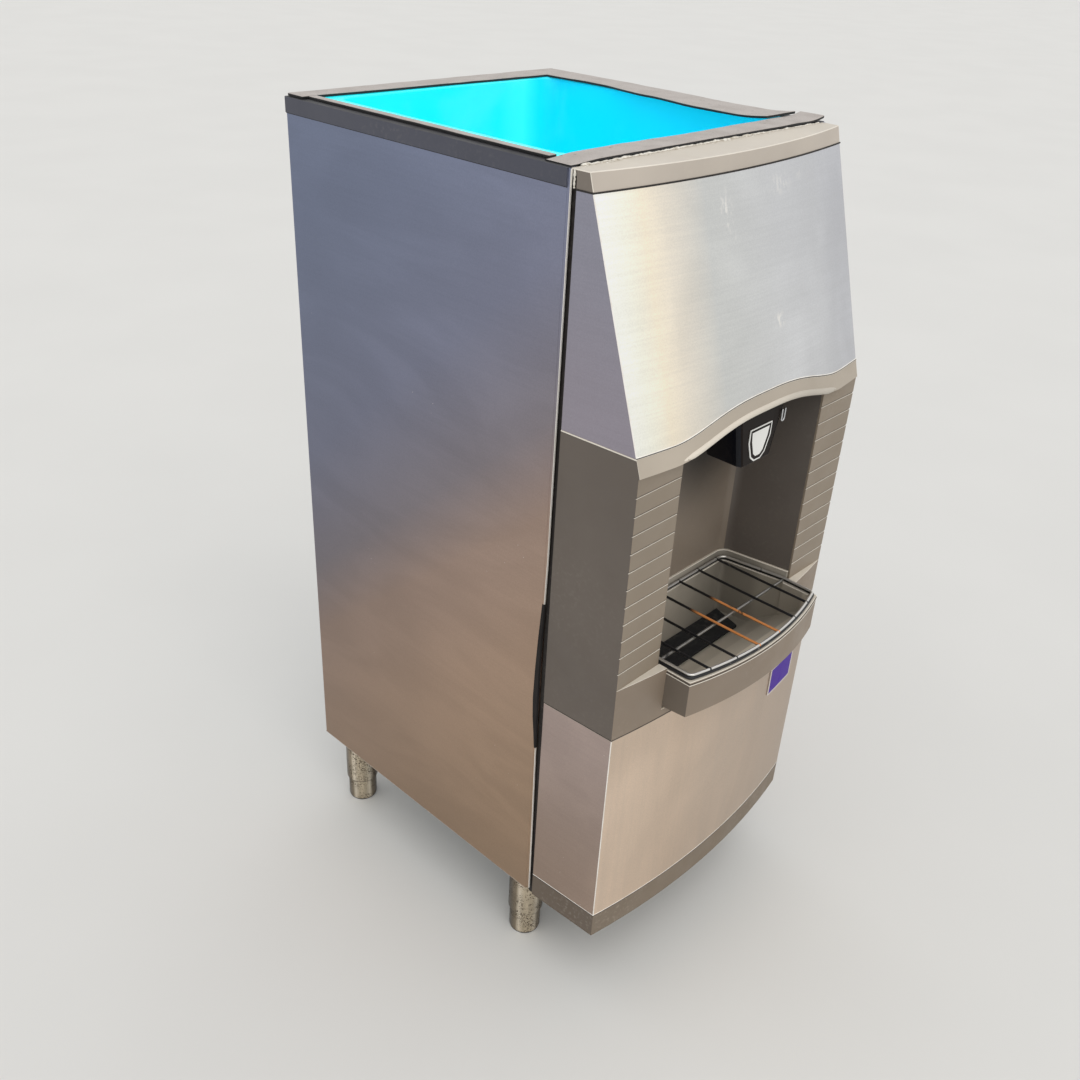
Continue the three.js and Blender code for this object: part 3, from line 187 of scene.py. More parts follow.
# Brushed sheet: a slow change of tone along one axis as painted reflection, fine brushing lines, wiped
# streaks, smears and scuffs, and a fade along an axis as painted reflection and shade
def brushedSheet(letter, low, high, stops, grain, smears=(), wiped=None, fade=None, glaze=0.36):
    sheet = Finish(stops[0][1], {"Metallic": 1.0})
    place = sheet.axis(letter) if isinstance(letter, str) else sheet.towards(letter)
    tone = sheet.ramp(sheet.span(place, low, high), stops)
    lines = sheet.noise(1.0, 3.0, grain)
    cloud = sheet.noise(3.2, 3.0, distortion=0.6)
    speckle = sheet.noise(520.0, 2.0)
    tone = sheet.scaled(tone, sheet.span(lines, 0.3, 0.7, 0.975, 1.025))
    tone = sheet.scaled(tone, sheet.span(speckle, 0.3, 0.7, 0.965, 1.035))
    tone = sheet.scaled(tone, sheet.span(cloud, 0.25, 0.75, 0.955, 1.045))
    if wiped:
        stretch, turn, strength = wiped
        swirl = sheet.patches(5.0, 5.0, 0.36, 0.68, 1 - strength, 1 + strength, stretch=stretch,
                              distortion=1.6, turn=turn)
        tone = sheet.scaled(tone, swirl)
    if fade:
        tone = sheet.scaled(tone, sheet.span(sheet.axis(fade[0]), *fade[1:]))
    scuffs = sheet.times(sheet.span(sheet.cells(60.0), 0.05, 0.02),
                         sheet.patches(7.0, 1.0, 0.62, 0.68))
    tone = sheet.mix(sheet.times(scuffs, 0.7), tone, "#f4f0ea")
    for centre, reach, squeeze, strength in smears:
        torn = sheet.times(sheet.spot(centre, reach, squeeze),
                           sheet.patches(150.0, 4.0, 0.47, 0.62, stretch=(1, 1, 0.45)))
        tone = sheet.mix(sheet.times(torn, strength), tone, "#fbf8f2")
    sheet.colour(tone)
    sheet.rough(sheet.maths("ADD", sheet.span(cloud, 0.3, 0.7, glaze - 0.03, glaze + 0.04),
                            sheet.span(lines, 0.3, 0.7, -0.03, 0.04)))
    sheet.bump(lines, 0.05, 0.1 * mm)
    return sheet.material


def darker(code, share):
    return "#" + "".join(f"{round(int(code[i:i + 2], 16) * share):02x}" for i in (1, 3, 5))


# Moulded plastic: a fine spark-eroded texture, a little mottling, dust and faint scuffs, with painted light
# and shade as fades along an axis and dark spots
def mouldedPlastic(colour, gloss, dusty=0.04, paintedLightFades=(), shades=()):
    plastic = Finish(colour, {})
    base = plastic.mix(plastic.patches(6.0, 4.0, 0.3, 0.7, 0.0, 0.35), colour, darker(colour, 0.86))
    dust = plastic.times(plastic.patches(160.0, 5.0, 0.5, 0.75), plastic.patches(5.0, 3.0, 0.42, 0.7))
    base = plastic.mix(plastic.times(dust, dusty * 2), base, "#d8d0c4")
    specks = plastic.times(plastic.span(plastic.cells(85.0), 0.045, 0.02),
                           plastic.patches(9.0, 1.0, 0.6, 0.66))
    base = plastic.mix(plastic.times(specks, 0.6), base, "#e6dfd4")
    for letter, *levels in paintedLightFades:
        base = plastic.scaled(base, plastic.span(plastic.axis(letter), *levels))
    for centre, reach, depth in shades:
        shade = plastic.times(plastic.spot(centre, reach), depth)
        base = plastic.scaled(base, plastic.maths("SUBTRACT", 1.0, shade))
    plastic.colour(base)
    plastic.rough(plastic.patches(22.0, 4.0, 0.3, 0.7, gloss - 0.06, gloss + 0.08))
    plastic.bump(plastic.noise(900.0, 2.0), 0.12, 0.25 * mm)
    plastic.bump(plastic.noise(5.0, 2.0), 0.12, 1.5 * mm)
    return plastic.material


# Bare or plated metal with pits, stains and rubbed patches
def agedMetal(colour, stain, roughness, pits=0.0, grain=(60, 60, 60), bare=1.0):
    metal = Finish(colour, {"Metallic": bare})
    patches = metal.patches(28.0, 5.0, 0.42, 0.66, distortion=0.8)
    base = metal.mix(metal.times(patches, 0.55), colour, stain)
    flecks = metal.span(metal.cells(420.0), 0.34, 0.12)
    spots = metal.times(flecks, metal.patches(60.0, 4.0, 0.44, 0.6))
    base = metal.mix(metal.times(spots, pits), base, darker(stain, 0.55))
    metal.colour(base)
    metal.rough(metal.span(patches, 0.0, 1.0, roughness, roughness + 0.22))
    metal.bump(metal.noise(1.0, 2.0, grain), 0.1, 0.2 * mm)
    metal.bump(spots, -0.5 * pits, 0.35 * mm)
    return metal.material


# A turned leg: a painted highlight down the middle of the sides facing along (-0.62, -0.78) and the opposite
# way, painted shade between them, pitted and flaking
def turnedSteel():
    steel = Finish("#c2ad8f", {"Metallic": 1.0})
    side = steel.span(steel.maths("ABSOLUTE", steel.facing((-0.62, -0.78, 0)), 0), -0.3, 1.0)
    base = steel.ramp(side, [(0.0, "#3a332c"), (0.3, "#5a5147"), (0.68, "#7d7263"), (0.88, "#a09380"),
                             (0.975, "#f6ead6"), (1.0, "#cfc1aa")])
    base = steel.scaled(base, steel.patches(1.0, 4.0, 0.35, 0.65, 0.86, 1.1, stretch=(90, 90, 6)))
    flakes = steel.times(steel.patches(380.0, 5.0, 0.47, 0.62, distortion=0.8),
                         steel.patches(34.0, 4.0, 0.34, 0.56))
    base = steel.mix(steel.times(flakes, 0.85), base, "#3f3427")
    steel.colour(base)
    steel.rough(steel.span(flakes, 0.0, 1.0, 0.26, 0.6))
    steel.bump(flakes, -0.7, 0.5 * mm)
    steel.bump(steel.noise(1.0, 2.0, (200, 200, 20)), 0.1, 0.2 * mm)
    return steel.material


def galvanisedSheet():
    sheet = Finish("#9ea2a4", {"Metallic": 1.0})
    flakes = sheet.cells(70.0)
    tone = sheet.scaled("#a7abad", sheet.span(flakes, 0.0, 0.9, 0.86, 1.08))
    tone = sheet.mix(sheet.patches(5.0, 4.0, 0.5, 0.75, 0.0, 0.3), tone, "#7f7c76")
    sheet.colour(tone)
    sheet.rough(sheet.span(flakes, 0.0, 0.9, 0.42, 0.56))
    sheet.bump(sheet.noise(350.0, 2.0), 0.06, 0.2 * mm)
    return sheet.material


def openFoam(colour, side):
    foam = Finish(colour, {"Sheen Weight": 0.15})
    pores = foam.span(foam.cells(900.0), 0.1, 0.55)
    base = foam.mix(foam.patches(30.0, 5.0, 0.35, 0.7, 0.0, 0.6), colour, side)
    base = foam.scaled(base, foam.span(pores, 0.0, 1.0, 0.82, 1.04))
    base = foam.mix(foam.patches(110.0, 3.0, 0.66, 0.74, 0.0, 0.5), base, darker(side, 0.6))
    foam.colour(base)
    foam.rough(foam.span(pores, 0.0, 1.0, 0.96, 0.85))
    foam.bump(pores, 0.35, 0.4 * mm)
    foam.bump(foam.noise(45.0, 4.0), 0.35, 1.2 * mm)
    return foam.material


def blackRubber():
    rubber = Finish("#17181b", {})
    dust = rubber.times(rubber.patches(90.0, 5.0, 0.5, 0.72), rubber.patches(6.0, 2.0, 0.45, 0.7))
    rubber.colour(rubber.mix(rubber.times(dust, 0.25), "#131417", "#6a665f"))
    rubber.rough(rubber.patches(60.0, 4.0, 0.3, 0.7, 0.62, 0.85))
    rubber.bump(rubber.noise(700.0, 2.0), 0.2, 0.2 * mm)
    return rubber.material


# The bin's cyan plastic: painted light, lighter where the light falls in and glowing faintly in its own
# colour, with a soft orange-peel face
def binPlastic():
    plastic = Finish("#12dcf6", {"Subsurface Weight": 0.15, "Subsurface Scale": 0.01,
                                 "Emission Strength": 0.2})
    light = plastic.span(plastic.axis("X"), -0.23, 0.24)
    tone = plastic.ramp(light, [(0.0, "#20f4ff"), (0.8, "#1cf0ff"), (0.93, "#44faff"), (0.985, "#10e6fd"),
                                (1.0, "#04dcfc")])
    bloom = plastic.times(plastic.patches(7.0, 4.0, 0.45, 0.75, distortion=0.5), 0.18)
    tone = plastic.mix(bloom, tone, "#8ff6ff")
    plastic.colour(tone)
    plastic.feed(plastic.shader.inputs["Emission Color"], tone)
    plastic.rough(plastic.patches(12.0, 3.0, 0.3, 0.7, 0.3, 0.45))
    plastic.bump(plastic.noise(160.0, 2.0), 0.1, 0.4 * mm)
    plastic.bump(plastic.noise(6.0, 2.0), 0.15, 2.0 * mm)
    return plastic.material


# Dipped wire whose black coat is rubbed through, more so towards one side
def dippedWire(bare, low, high, direction, startAt, fullAt, metal=0.8):
    wire = Finish("#17181b", {})
    worn = wire.patches(70.0, 5.0, low, high, distortion=0.4)
    reach = wire.span(wire.towards(direction), startAt, fullAt)
    upward = wire.span(wire.facing((0, 0, 1)), -0.7, 0.2)
    mask = wire.times(wire.times(worn, reach), upward)
    wire.colour(wire.mix(mask, "#141518", bare))
    wire.feed(wire.shader.inputs["Metallic"], wire.times(mask, metal))
    wire.rough(wire.span(mask, 0.0, 1.0, 0.42, 0.3))
    wire.bump(wire.noise(260.0, 3.0), 0.25, 0.25 * mm)
    wire.bump(mask, -0.4, 0.15 * mm)
    return wire.material


def glossPlastic(colour, haze, shine, low, high):
    plastic = Finish(colour, {"Specular IOR Level": shine})
    smear = plastic.patches(14.0, 4.0, 0.45, 0.7, distortion=1.2)
    plastic.colour(plastic.mix(plastic.times(smear, 0.25), colour, haze))
    plastic.rough(plastic.span(smear, 0.0, 1.0, low, high))
    plastic.bump(plastic.noise(300.0, 2.0), 0.03, 0.2 * mm)
    return plastic.material


def crumbledSealant():
    sealant = Finish("#ece7dc", {})
    sealant.colour(sealant.mix(sealant.patches(140.0, 5.0, 0.35, 0.7), "#f3efe6", "#c3bbac"))
    sealant.rough(sealant.patches(60.0, 3.0, 0.3, 0.7, 0.6, 0.85))
    sealant.bump(sealant.noise(500.0, 4.0), 0.5, 0.5 * mm)
    return sealant.material


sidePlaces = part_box("side_panel_left")
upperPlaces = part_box("upper_front_panel")
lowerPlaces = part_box("lower_front_panel")
smearsUpper = [
    ((-0.052, -0.236, 1.262), 0.034, (1.8, 1, 0.8), 0.95),
    ((-0.040, -0.245, 1.225), 0.020, (2.0, 1, 0.8), 0.7),
    ((0.075, -0.226, 1.283), 0.034, (0.8, 1, 1.5), 0.6),
    ((0.125, -0.222, 1.290), 0.022, (1, 1, 1.2), 0.5),
    ((0.045, -0.290, 1.115), 0.024, (1.2, 1, 1.6), 0.8),
]
finishes = {
    # painted reflection: the side steel runs from tan low and in front to blue-grey high and behind, and is
    # lighter towards the front edge
    "steelSide": brushedSheet(
        (0, 0.87, 1), 0.0, 1.67,
        [(0.0, "#9b846f"), (0.22, "#9e8776"), (0.4, "#978378"), (0.53, "#807a80"), (0.72, "#7a7d90"),
         (1.0, "#79829a")],
        (3, 6, 300), wiped=((1.0, 0.5, 1.6), (0.6, 0, 0), 0.045),
        fade=("Y", sidePlaces[0].y, sidePlaces[1].y, 1.26, 1.0)),
    # painted reflection: a creamy glare at the upper panel's left end, fading to grey across it
    "steelUpper": brushedSheet(
        "X", upperPlaces[0].x, upperPlaces[1].x,
        [(0.0, "#fffff6"), (0.014, "#fffdee"), (0.046, "#fff4de"), (0.1, "#f1e9da"), (0.26, "#d9dad7"),
         (0.68, "#dadbdc"), (0.9, "#d2d3d5"), (1.0, "#cbccd0")],
        (6, 3, 300), smearsUpper, ((1.0, 1.0, 0.5), (0, 0.5, 0), 0.035), glaze=0.4),
    # painted shade: a darker copy of the upper panel's steel for its returns turned aside
    "steelUpperCheek": brushedSheet(
        "Z", upperPlaces[0].z, upperPlaces[1].z,
        [(0.0, "#9f99a4"), (1.0, "#9898a6")], (3, 6, 300)),
    # painted reflection: lighter towards the left; painted shadow: darker along the top, under the tray
    "steelLower": brushedSheet(
        "X", lowerPlaces[0].x, lowerPlaces[1].x,
        [(0.0, "#e6d1bd"), (0.2, "#dcc7b3"), (0.5, "#cbb9a8"), (1.0, "#bcab9b")], (120, 3, 3),
        wiped=((1.4, 1.0, 0.8), (0, 0, 0), 0.025), fade=("Z", 0.44, 0.545, 1.0, 0.87)),
    # painted shade: a darker copy of the lower panel's steel for its returns turned aside
    "steelLowerCheek": brushedSheet(
        "Z", lowerPlaces[0].z, lowerPlaces[1].z,
        [(0.0, "#ad998c"), (1.0, "#b4a39d")], (3, 6, 300), wiped=((1.0, 1.0, 1.0), (0.5, 0, 0), 0.05)),
    # painted highlight: near-white metal for the edges and hems that catch the light
    "steelEdgeHighlight": agedMetal("#fbf8f2", "#ddd6cb", 0.32, 0.1, bare=0.4),
    # painted highlight, dimmer, for hems in less light
    "dullEdgeHighlight": agedMetal("#b7aa9d", "#a3978b", 0.42, 0.1, bare=0.4),
    "capFace": mouldedPlastic("#c8beb2", 0.5),
    # painted light: a lighter copy for the cap's upward faces, with more dust as well
    "capTop": mouldedPlastic("#d4ccbf", 0.52, 0.12),
    # painted shade: a darker copy for the cap's ends
    "capEnd": mouldedPlastic("#80776e", 0.5),
    # painted shade: the trim darkens towards the right
    "trimFace": mouldedPlastic("#beb3a4", 0.5, paintedLightFades=[("X", -0.25, 0.1, 1.02, 0.9)]),
    # painted highlight: the bead is brightest on the left and darkens towards the right
    "trimBead": mouldedPlastic("#f2e9da", 0.46, 0.01, paintedLightFades=[("X", -0.1, 0.12, 0.9, 0.62)]),
    "pilasterFace": mouldedPlastic("#918474", 0.52),
    # painted shade: a darker copy for the fascia cheeks turned aside
    "cheekFace": mouldedPlastic("#655c54", 0.5, 0.02),
    # painted light: a lighter copy for upward ledges and the tray rim
    "ledgeTop": mouldedPlastic("#ddd5c7", 0.5),
    "trayFace": mouldedPlastic("#8d7e6e", 0.5),
    # painted shade: a darker copy for the tray's sides
    "traySide": mouldedPlastic("#6f655a", 0.5),
    # painted light and shade: lighter on the front steps, darker towards the right and the rear
    "trayInside": mouldedPlastic("#cbc3b5", 0.42, paintedLightFades=[
        ("X", -0.04, 0.15, 1.14, 0.6), ("Y", -0.352, -0.346, 1.5, 1.0), ("Y", -0.312, -0.306, 1.15, 1.0),
        ("Y", -0.275, -0.25, 1.0, 0.74)]),
    "kickFace": mouldedPlastic("#7f7161", 0.55, 0.08),
    # painted shade: a darker copy for the kick trim's ends
    "kickEnd": mouldedPlastic("#685b4e", 0.55, 0.08),
    # painted highlight: a near-white plastic for edges that catch the light
    "mouldingEdgeHighlight": mouldedPlastic("#efe8dc", 0.45),
    # painted shade: darker towards the top and the right, with a painted shadow under the chute
    "alcoveRear": mouldedPlastic("#948779", 0.44, 0.02,
                                 paintedLightFades=[("Z", 0.78, 0.99, 1.0, 0.75), ("X", -0.16, 0.14, 1.12, 0.86)],
                                 shades=[((0.062, -0.186, 0.9), 0.18, 0.95)]),
    # painted shade: a darker copy for the alcove's side walls, darker still at the top
    "alcoveSide": mouldedPlastic("#645d57", 0.44, 0.02,
                                 paintedLightFades=[("Z", 0.86, 1.0, 1.0, 0.8)]),
    "rimPlastic": mouldedPlastic("#464855", 0.42, 0.03),
    # painted shadow: the bands' upward faces are near black, standing in for the shadow under the foam
    # strips
    "rimTop": mouldedPlastic("#1d1d22", 0.5, 0.03),
    "foamTape": openFoam("#b6afaa", "#a39b95"),
    "foamEdge": openFoam("#141416", "#222224"),
    "insulatingFoam": openFoam("#d9c48a", "#c4ab6d"),
    "galvanised": galvanisedSheet(),
    "brightSteel": agedMetal("#c6c7c9", "#a3a4a6", 0.2, 0.1, (200, 30, 30)),
    "binPlastic": binPlastic(),
    "blackRubber": blackRubber(),
    # real gasket rubber, and also the painted shadow lines along the seams
    "gapRubberAndShadowLine": mouldedPlastic("#241f1d", 0.7, 0.03),
    # painted shade: a near-black finish for the strip laid over the gap beside the fascia
    "gapShade": mouldedPlastic("#120d0b", 0.9, 0.0),
    "legSteel": turnedSteel(),
    "grooveShade": mouldedPlastic("#3f3831", 0.7, 0.02),
    "ringSilver": dippedWire("#d8d6d2", 0.24, 0.36, (0.45, -1, 0), 0.16, 0.22),
    "ringBlack": dippedWire("#77746f", 0.62, 0.72, (0, -1, 0), 0.1, 0.2),
    "crossWire": dippedWire("#9b9995", 0.28, 0.5, (0, -1, 0), 0.1, 0.2),
    "barWire": dippedWire("#6f6c68", 0.62, 0.74, (0, -1, 0), 0.1, 0.2),
    "copperWire": dippedWire("#f0a060", 0.26, 0.36, (0, -1, 0), 0.258, 0.28, 0.25),
    "whitePlastic": mouldedPlastic("#dedcd6", 0.45, 0.08),
    "motorPaint": mouldedPlastic("#30343b", 0.45, 0.15),
    "blackGloss": glossPlastic("#0d0f16", "#181d2b", 0.2, 0.14, 0.3),
    "chuteFront": glossPlastic("#1f1a18", "#2b2522", 0.05, 0.35, 0.5),
    "whiteLabel": mouldedPlastic("#efefec", 0.35, 0.04),
    "badgeFilm": glossPlastic("#4a2799", "#5636a8", 0.05, 0.35, 0.5),
    "badgeEdge": mouldedPlastic("#cfc4bd", 0.4, 0.05),
    "sealant": crumbledSealant(),
}
for finishName, material in finishes.items():
    material.name = finishName

# Shapes


def inMetres(settings):
    return SimpleNamespace(**{key: value * mm for key, value in settings.items()})


def copyOf(node):  # a merged copy of a frame node, its flat faces joined again
    shape = bmesh.new()
    shape.from_mesh(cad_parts[node].data)
    bmesh.ops.remove_doubles(shape, verts=shape.verts, dist=0.02 * mm)
    bmesh.ops.dissolve_limit(shape, angle_limit=math.radians(0.35), use_dissolve_boundaries=False,
                             verts=shape.verts, edges=shape.edges)
    return shape


def looksOut(edge, middle):  # a corner on the outside of a shell
    return edge.is_convex and all(
        abs(face.normal.z) > 0.7 or (face.calc_center_median() - middle).to_2d().dot(face.normal.to_2d()) > 0
        for face in edge.link_faces)


def bevelEdges(shape, edges, radius, segments, slide=True):
    return bmesh.ops.bevel(shape, geom=edges, offset=radius, offset_type="OFFSET", segments=segments,
                           profile=0.5, affect="EDGES", clamp_overlap=False, material=-1,
                           loop_slide=slide)["faces"]


def roundEdges(shape, radius, segments=2, sharper=28, choose=None):
    picked = [edge for edge in shape.edges
              if len(edge.link_faces) == 2 and edge.calc_face_angle(0) > math.radians(sharper)
              and (choose is None or choose(edge))]
    return bevelEdges(shape, picked, radius, segments) if picked else []


def shift(shape, by, verts=None):
    bmesh.ops.translate(shape, vec=by, verts=shape.verts if verts is None else verts)


def turn(shape, angle, axis, verts=None):
    bmesh.ops.rotate(shape, cent=(0, 0, 0), matrix=Matrix.Rotation(angle, 3, axis),
                     verts=shape.verts if verts is None else verts)


def faceOut(shape):
    bmesh.ops.recalc_face_normals(shape, faces=shape.faces)


def secondFinish(faces, test):  # gives the faces that pass a test the piece's second finish
    for face in faces:
        face.material_index = int(test(face))


def blockBetween(low, high):
    shape = bmesh.new()
    bmesh.ops.create_cube(shape, size=1.0)
    low, high = Vector(low), Vector(high)
    bmesh.ops.scale(shape, vec=high - low, verts=shape.verts)
    shift(shape, (low + high) / 2)
    return shape


def spun(profile, centre, steps, layDown=False):  # a [radius, height] line turned about an axis
    shape = bmesh.new()
    line = [shape.verts.new((radius, 0, height)) for radius, height in profile]
    edges = [shape.edges.new(pair) for pair in zip(line, line[1:])]
    bmesh.ops.spin(shape, geom=line + edges, cent=(0, 0, 0), axis=(0, 0, 1), dvec=(0, 0, 0),
                   angle=2 * math.pi, steps=steps, use_merge=True)
    bmesh.ops.remove_doubles(shape, verts=shape.verts, dist=0.01 * mm)
    if layDown:
        turn(shape, -math.pi / 2, "X")
    shift(shape, centre)
    faceOut(shape)
    return shape


def joinedWith(shape, other):
    spare = bpy.data.meshes.new("spare")
    other.to_mesh(spare)
    other.free()
    shape.from_mesh(spare)
    bpy.data.meshes.remove(spare)


def addWire(shape, points, radius, closed=False, radii=None):
    line = bpy.data.curves.new("wireLine", "CURVE")
    line.dimensions = "3D"
    line.bevel_depth = radius
    line.bevel_resolution = 4
    line.use_fill_caps = True
    spline = line.splines.new("POLY")
    spline.points.add(len(points) - 1)
    for number, place in enumerate(points):
        spline.points[number].co = (*place, 1)
        spline.points[number].radius = radii[number] if radii else 1
    spline.use_cyclic_u = closed
    holder = bpy.data.objects.new("wireLine", line)
    mesh = bpy.data.meshes.new_from_object(holder)
    shape.from_mesh(mesh)
    bpy.data.objects.remove(holder)
    bpy.data.meshes.remove(mesh)
    bpy.data.curves.remove(line)


def shadeEvenly(piece, sharp):
    piece.data.shade_smooth()
    piece.data.set_sharp_from_angle(angle=math.radians(sharp))
    even = piece.modifiers.new("evenShading", "WEIGHTED_NORMAL")
    even.keep_sharp = True


def addPiece(name, shape):
    mesh = bpy.data.meshes.new(name)
    shape.to_mesh(mesh)
    shape.free()
    piece = bpy.data.objects.new(name, mesh)
    bpy.context.scene.collection.objects.link(piece)
    return piece


def makePiece(shape, name, finish, body="cabinet", stands=(), sharp=38, others=()):
    piece = addPiece(name, shape)
    for key in (finish, *others):
        piece.data.materials.append(finishes[key])
    shadeEvenly(piece, sharp)
    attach(piece, body)
    if stands:
        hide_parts(*stands)
    return piece


def makeWires(name, lines, radius, finish, body="cabinet", stands=(), sharp=60, closed=False, radii=None):
    shape = bmesh.new()
    for line in lines:
        addWire(shape, line, radius, closed, radii)
    makePiece(shape, name, finish, body, stands, sharp)


def cutAway(piece, cutter):
    tool = addPiece("cutter", cutter)
    cut = piece.modifiers.new("cut", "BOOLEAN")
    cut.object = tool
    cut.solver = "EXACT"
    applyModifiers(piece)
    bpy.data.objects.remove(tool)


def applyModifiers(piece):
    bpy.context.view_layer.update()
    depsgraph = bpy.context.evaluated_depsgraph_get()
    baked = bpy.data.meshes.new_from_object(piece.evaluated_get(depsgraph))
    piece.modifiers.clear()
    piece.data = baked


# Nodes that keep their own shape, or a copy of it with eased edges
print("cabinet and fascia")
keptNodes = {
    "galvanised": ["rear_panel", "base_pan", "front_bulkhead", "bin_deck", "control_box", "control_box_lid",
                   "chute_bracket_left", "chute_bracket_right"],
    "insulatingFoam": ["bin_insulation"],
    "whitePlastic": ["sink_drain_hose", "bin_drain_hose", "shaft_bush", "switch_button", "paddle_wheel"],
    "motorPaint": ["gearbox", "drive_motor", "gate_solenoid"],
    "brightSteel": ["drive_shaft", "gate_hinge_pin", "ice_gate", "solenoid_plunger", "chute_spring"],
    "alcoveSide": ["outlet_throat"],
    "blackGloss": ["chute_switch"],
    "blackRubber": ["cord_gland"],
}
for finishName, nodeNames in keptNodes.items():
    for nodeName in nodeNames:
        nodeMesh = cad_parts[nodeName].data
        nodeMesh.materials.clear()
        nodeMesh.materials.append(finishes[finishName])

fascia = dict(archHalf=205, archPower=1.4, lipLevel=980.5, lipRise=25.8, lipEnd=205, trimEase=0.5,
              bellyLevel=1006, bellyBow=20, bellyFront=132.2, seamRise=24, capLevel=1312.7, capFront=35.4,
              capBow=24, sillLevel=645.5, cheekHalf=255, beadRadius=5.3, wall=3, rearHalf=275.8,
              rearDepth=11, draft=0.058, groove=2.2, roofGroovesAbove=660)
tray = dict(rimLevel=636, brightLevel=630, sideHalf=168, frontDepth=155.75)
fitShift = -174.25 * mm  # the cabinet's front plane in the frame
uprightLength = 80 * mm


def evenly(steps):  # from -1 to 1
    return [i / steps - 1 for i in range(2 * steps + 1)]


def archRise(x):
    share = min(1, abs(x) / (fascia["archHalf"] * mm))
    return (1 + math.cos(math.pi * share ** fascia["archPower"])) / 2


def facesUp(face, place, facing):
    return facing.z > 0.6


def facesAside(face, place, facing):
    return abs(facing.x) > 0.8


def onCheek(face, place, facing):
    return facesAside(face, place, facing) and abs(place.x) > fascia["cheekHalf"] * mm


def onTrim(face, place, facing):
    lip = (fascia["lipLevel"] + fascia["lipRise"] * archRise(place.x)) * mm
    return place.z > lip - fascia["trimEase"] * mm


def onSill(face, place, facing):
    return place.z < fascia["sillLevel"] * mm


def onTrayRim(face, place, facing):
    return facesUp(face, place, facing) and place.z > tray["rimLevel"] * mm


def onTraySide(face, place, facing):
    return facesAside(face, place, facing) and abs(place.x) > tray["sideHalf"] * mm


def onTrayFront(face, place, facing):
    return facing.y < -0.3 and place.y < fitShift - tray["frontDepth"] * mm


def inGroove(face, place, facing):  # the floor and the roof of a narrow groove
    tall, deep = (max(vert.co[i] for vert in face.verts) - min(vert.co[i] for vert in face.verts)
                  for i in (2, 1))
    narrow = fascia["groove"] * mm
    return (facing.y < -0.9 and tall < narrow) or (
        facing.z < -0.9 and deep < narrow and place.z > fascia["roofGroovesAbove"] * mm)


def isUpright(edge):
    run = edge.verts[0].co - edge.verts[1].co
    return run.length > uprightLength and abs(run.normalized().z) > 0.8


# Radii and the step back are in mm; a painted highlight finish goes on the rounded edges that face up, and
# regions by facing take copies with painted light and shade
easedNodes = [
    *[dict(node="side_panel_" + side, finish="steelSide", radius=0.45, bend=1.6)
      for side in ("left", "right")],
    *[dict(node="rim_band_" + side, finish="rimPlastic", radius=0.7, regions=[("rimTop", facesUp)])
      for side in ("left", "right", "rear")],
    dict(node="top_cap", finish="capFace", radius=1.1, edge="mouldingEdgeHighlight", shell=True,
         regions=[("capTop", facesUp), ("capEnd", facesAside)]),
    dict(node="upper_front_panel", finish="steelUpper", radius=0.4, bend=1.4, edge="steelEdgeHighlight", shell=True,
         brightTop=False, regions=[("steelUpperCheek", facesAside)]),
    dict(node="mid_fascia", finish="pilasterFace", radius=0.45, edge="mouldingEdgeHighlight", shell=True,
         regions=[("cheekFace", onCheek), ("grooveShade", inGroove), ("trimFace", onTrim),
                  ("ledgeTop", facesUp), ("trayFace", onSill)]),
    dict(node="lower_front_panel", finish="steelLower", radius=0.4, bend=1.4, edge="steelEdgeHighlight", shell=True,
         regions=[("steelLowerCheek", facesAside)]),
    dict(node="kick_trim", finish="kickFace", radius=0.9, edge="mouldingEdgeHighlight", shell=True, brightTop=False,
         regions=[("kickEnd", facesAside)]),
    *[dict(node="fascia_gasket_" + side, finish="gapRubberAndShadowLine", radius=1.2) for side in ("left", "right")],
    dict(node="alcove_liner", finish="alcoveRear", radius=0.7, regions=[("alcoveSide", facesAside)]),
    dict(node="sink_basin", finish="trayInside", radius=0.9, edge="mouldingEdgeHighlight",
         brightAbove=tray["brightLevel"], standBack=(190, 0.85),
         regions=[("ledgeTop", onTrayRim), ("traySide", onTraySide), ("trayFace", onTrayFront)]),
    dict(node="agitator_bar", finish="brightSteel", radius=1.0, body="dispensing_wheel"),
]


def easedCopy(node, finish, radius, bend=0.0, edge=None, regions=(), body="cabinet", shell=False,
              brightTop=True, brightAbove=0.0, standBack=None):
    shape = copyOf(node)
    if standBack:  # what lies beyond a depth steps back
        beyond, step = (value * mm for value in standBack)
        moved = [vert for vert in shape.verts if vert.co.y < fitShift - beyond]
        shift(shape, (0, step, 0), moved)
    low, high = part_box(node)
    middle = (low + high) / 2
    names = [finish] + [name for name, test in regions] + ([edge] if edge else [])
    for face in shape.faces:
        place, facing = face.calc_center_median(), face.normal
        hits = [number for number, (name, test) in enumerate(regions, 1) if test(face, place, facing)]
        face.material_index = hits[0] if hits else 0

    def chosen(item):
        return not shell or looksOut(item, middle)

    # the bends' front faces and the rounded edges that face up take the edge finish, a painted highlight
    if bend:
        for face in roundEdges(shape, bend * mm, 4, 50, lambda item: isUpright(item) and chosen(item)):
            if edge and face.normal.y < -0.3:
                face.material_index = len(names) - 1
    for face in roundEdges(shape, radius * mm, 2, 40, chosen):
        if edge and brightTop and face.normal.z > 0.2 and face.calc_center_median().z > brightAbove * mm:
            face.material_index = len(names) - 1
    makePiece(shape, node + "_face", finish, body, [node], others=names[1:])


for choice in easedNodes:
    easedCopy(**choice)

# The mat lies askew in the trench
print("mat")
mat = dict(half=136, front=83.2, back=28.5, skewShare=0.3, edge=0.9)


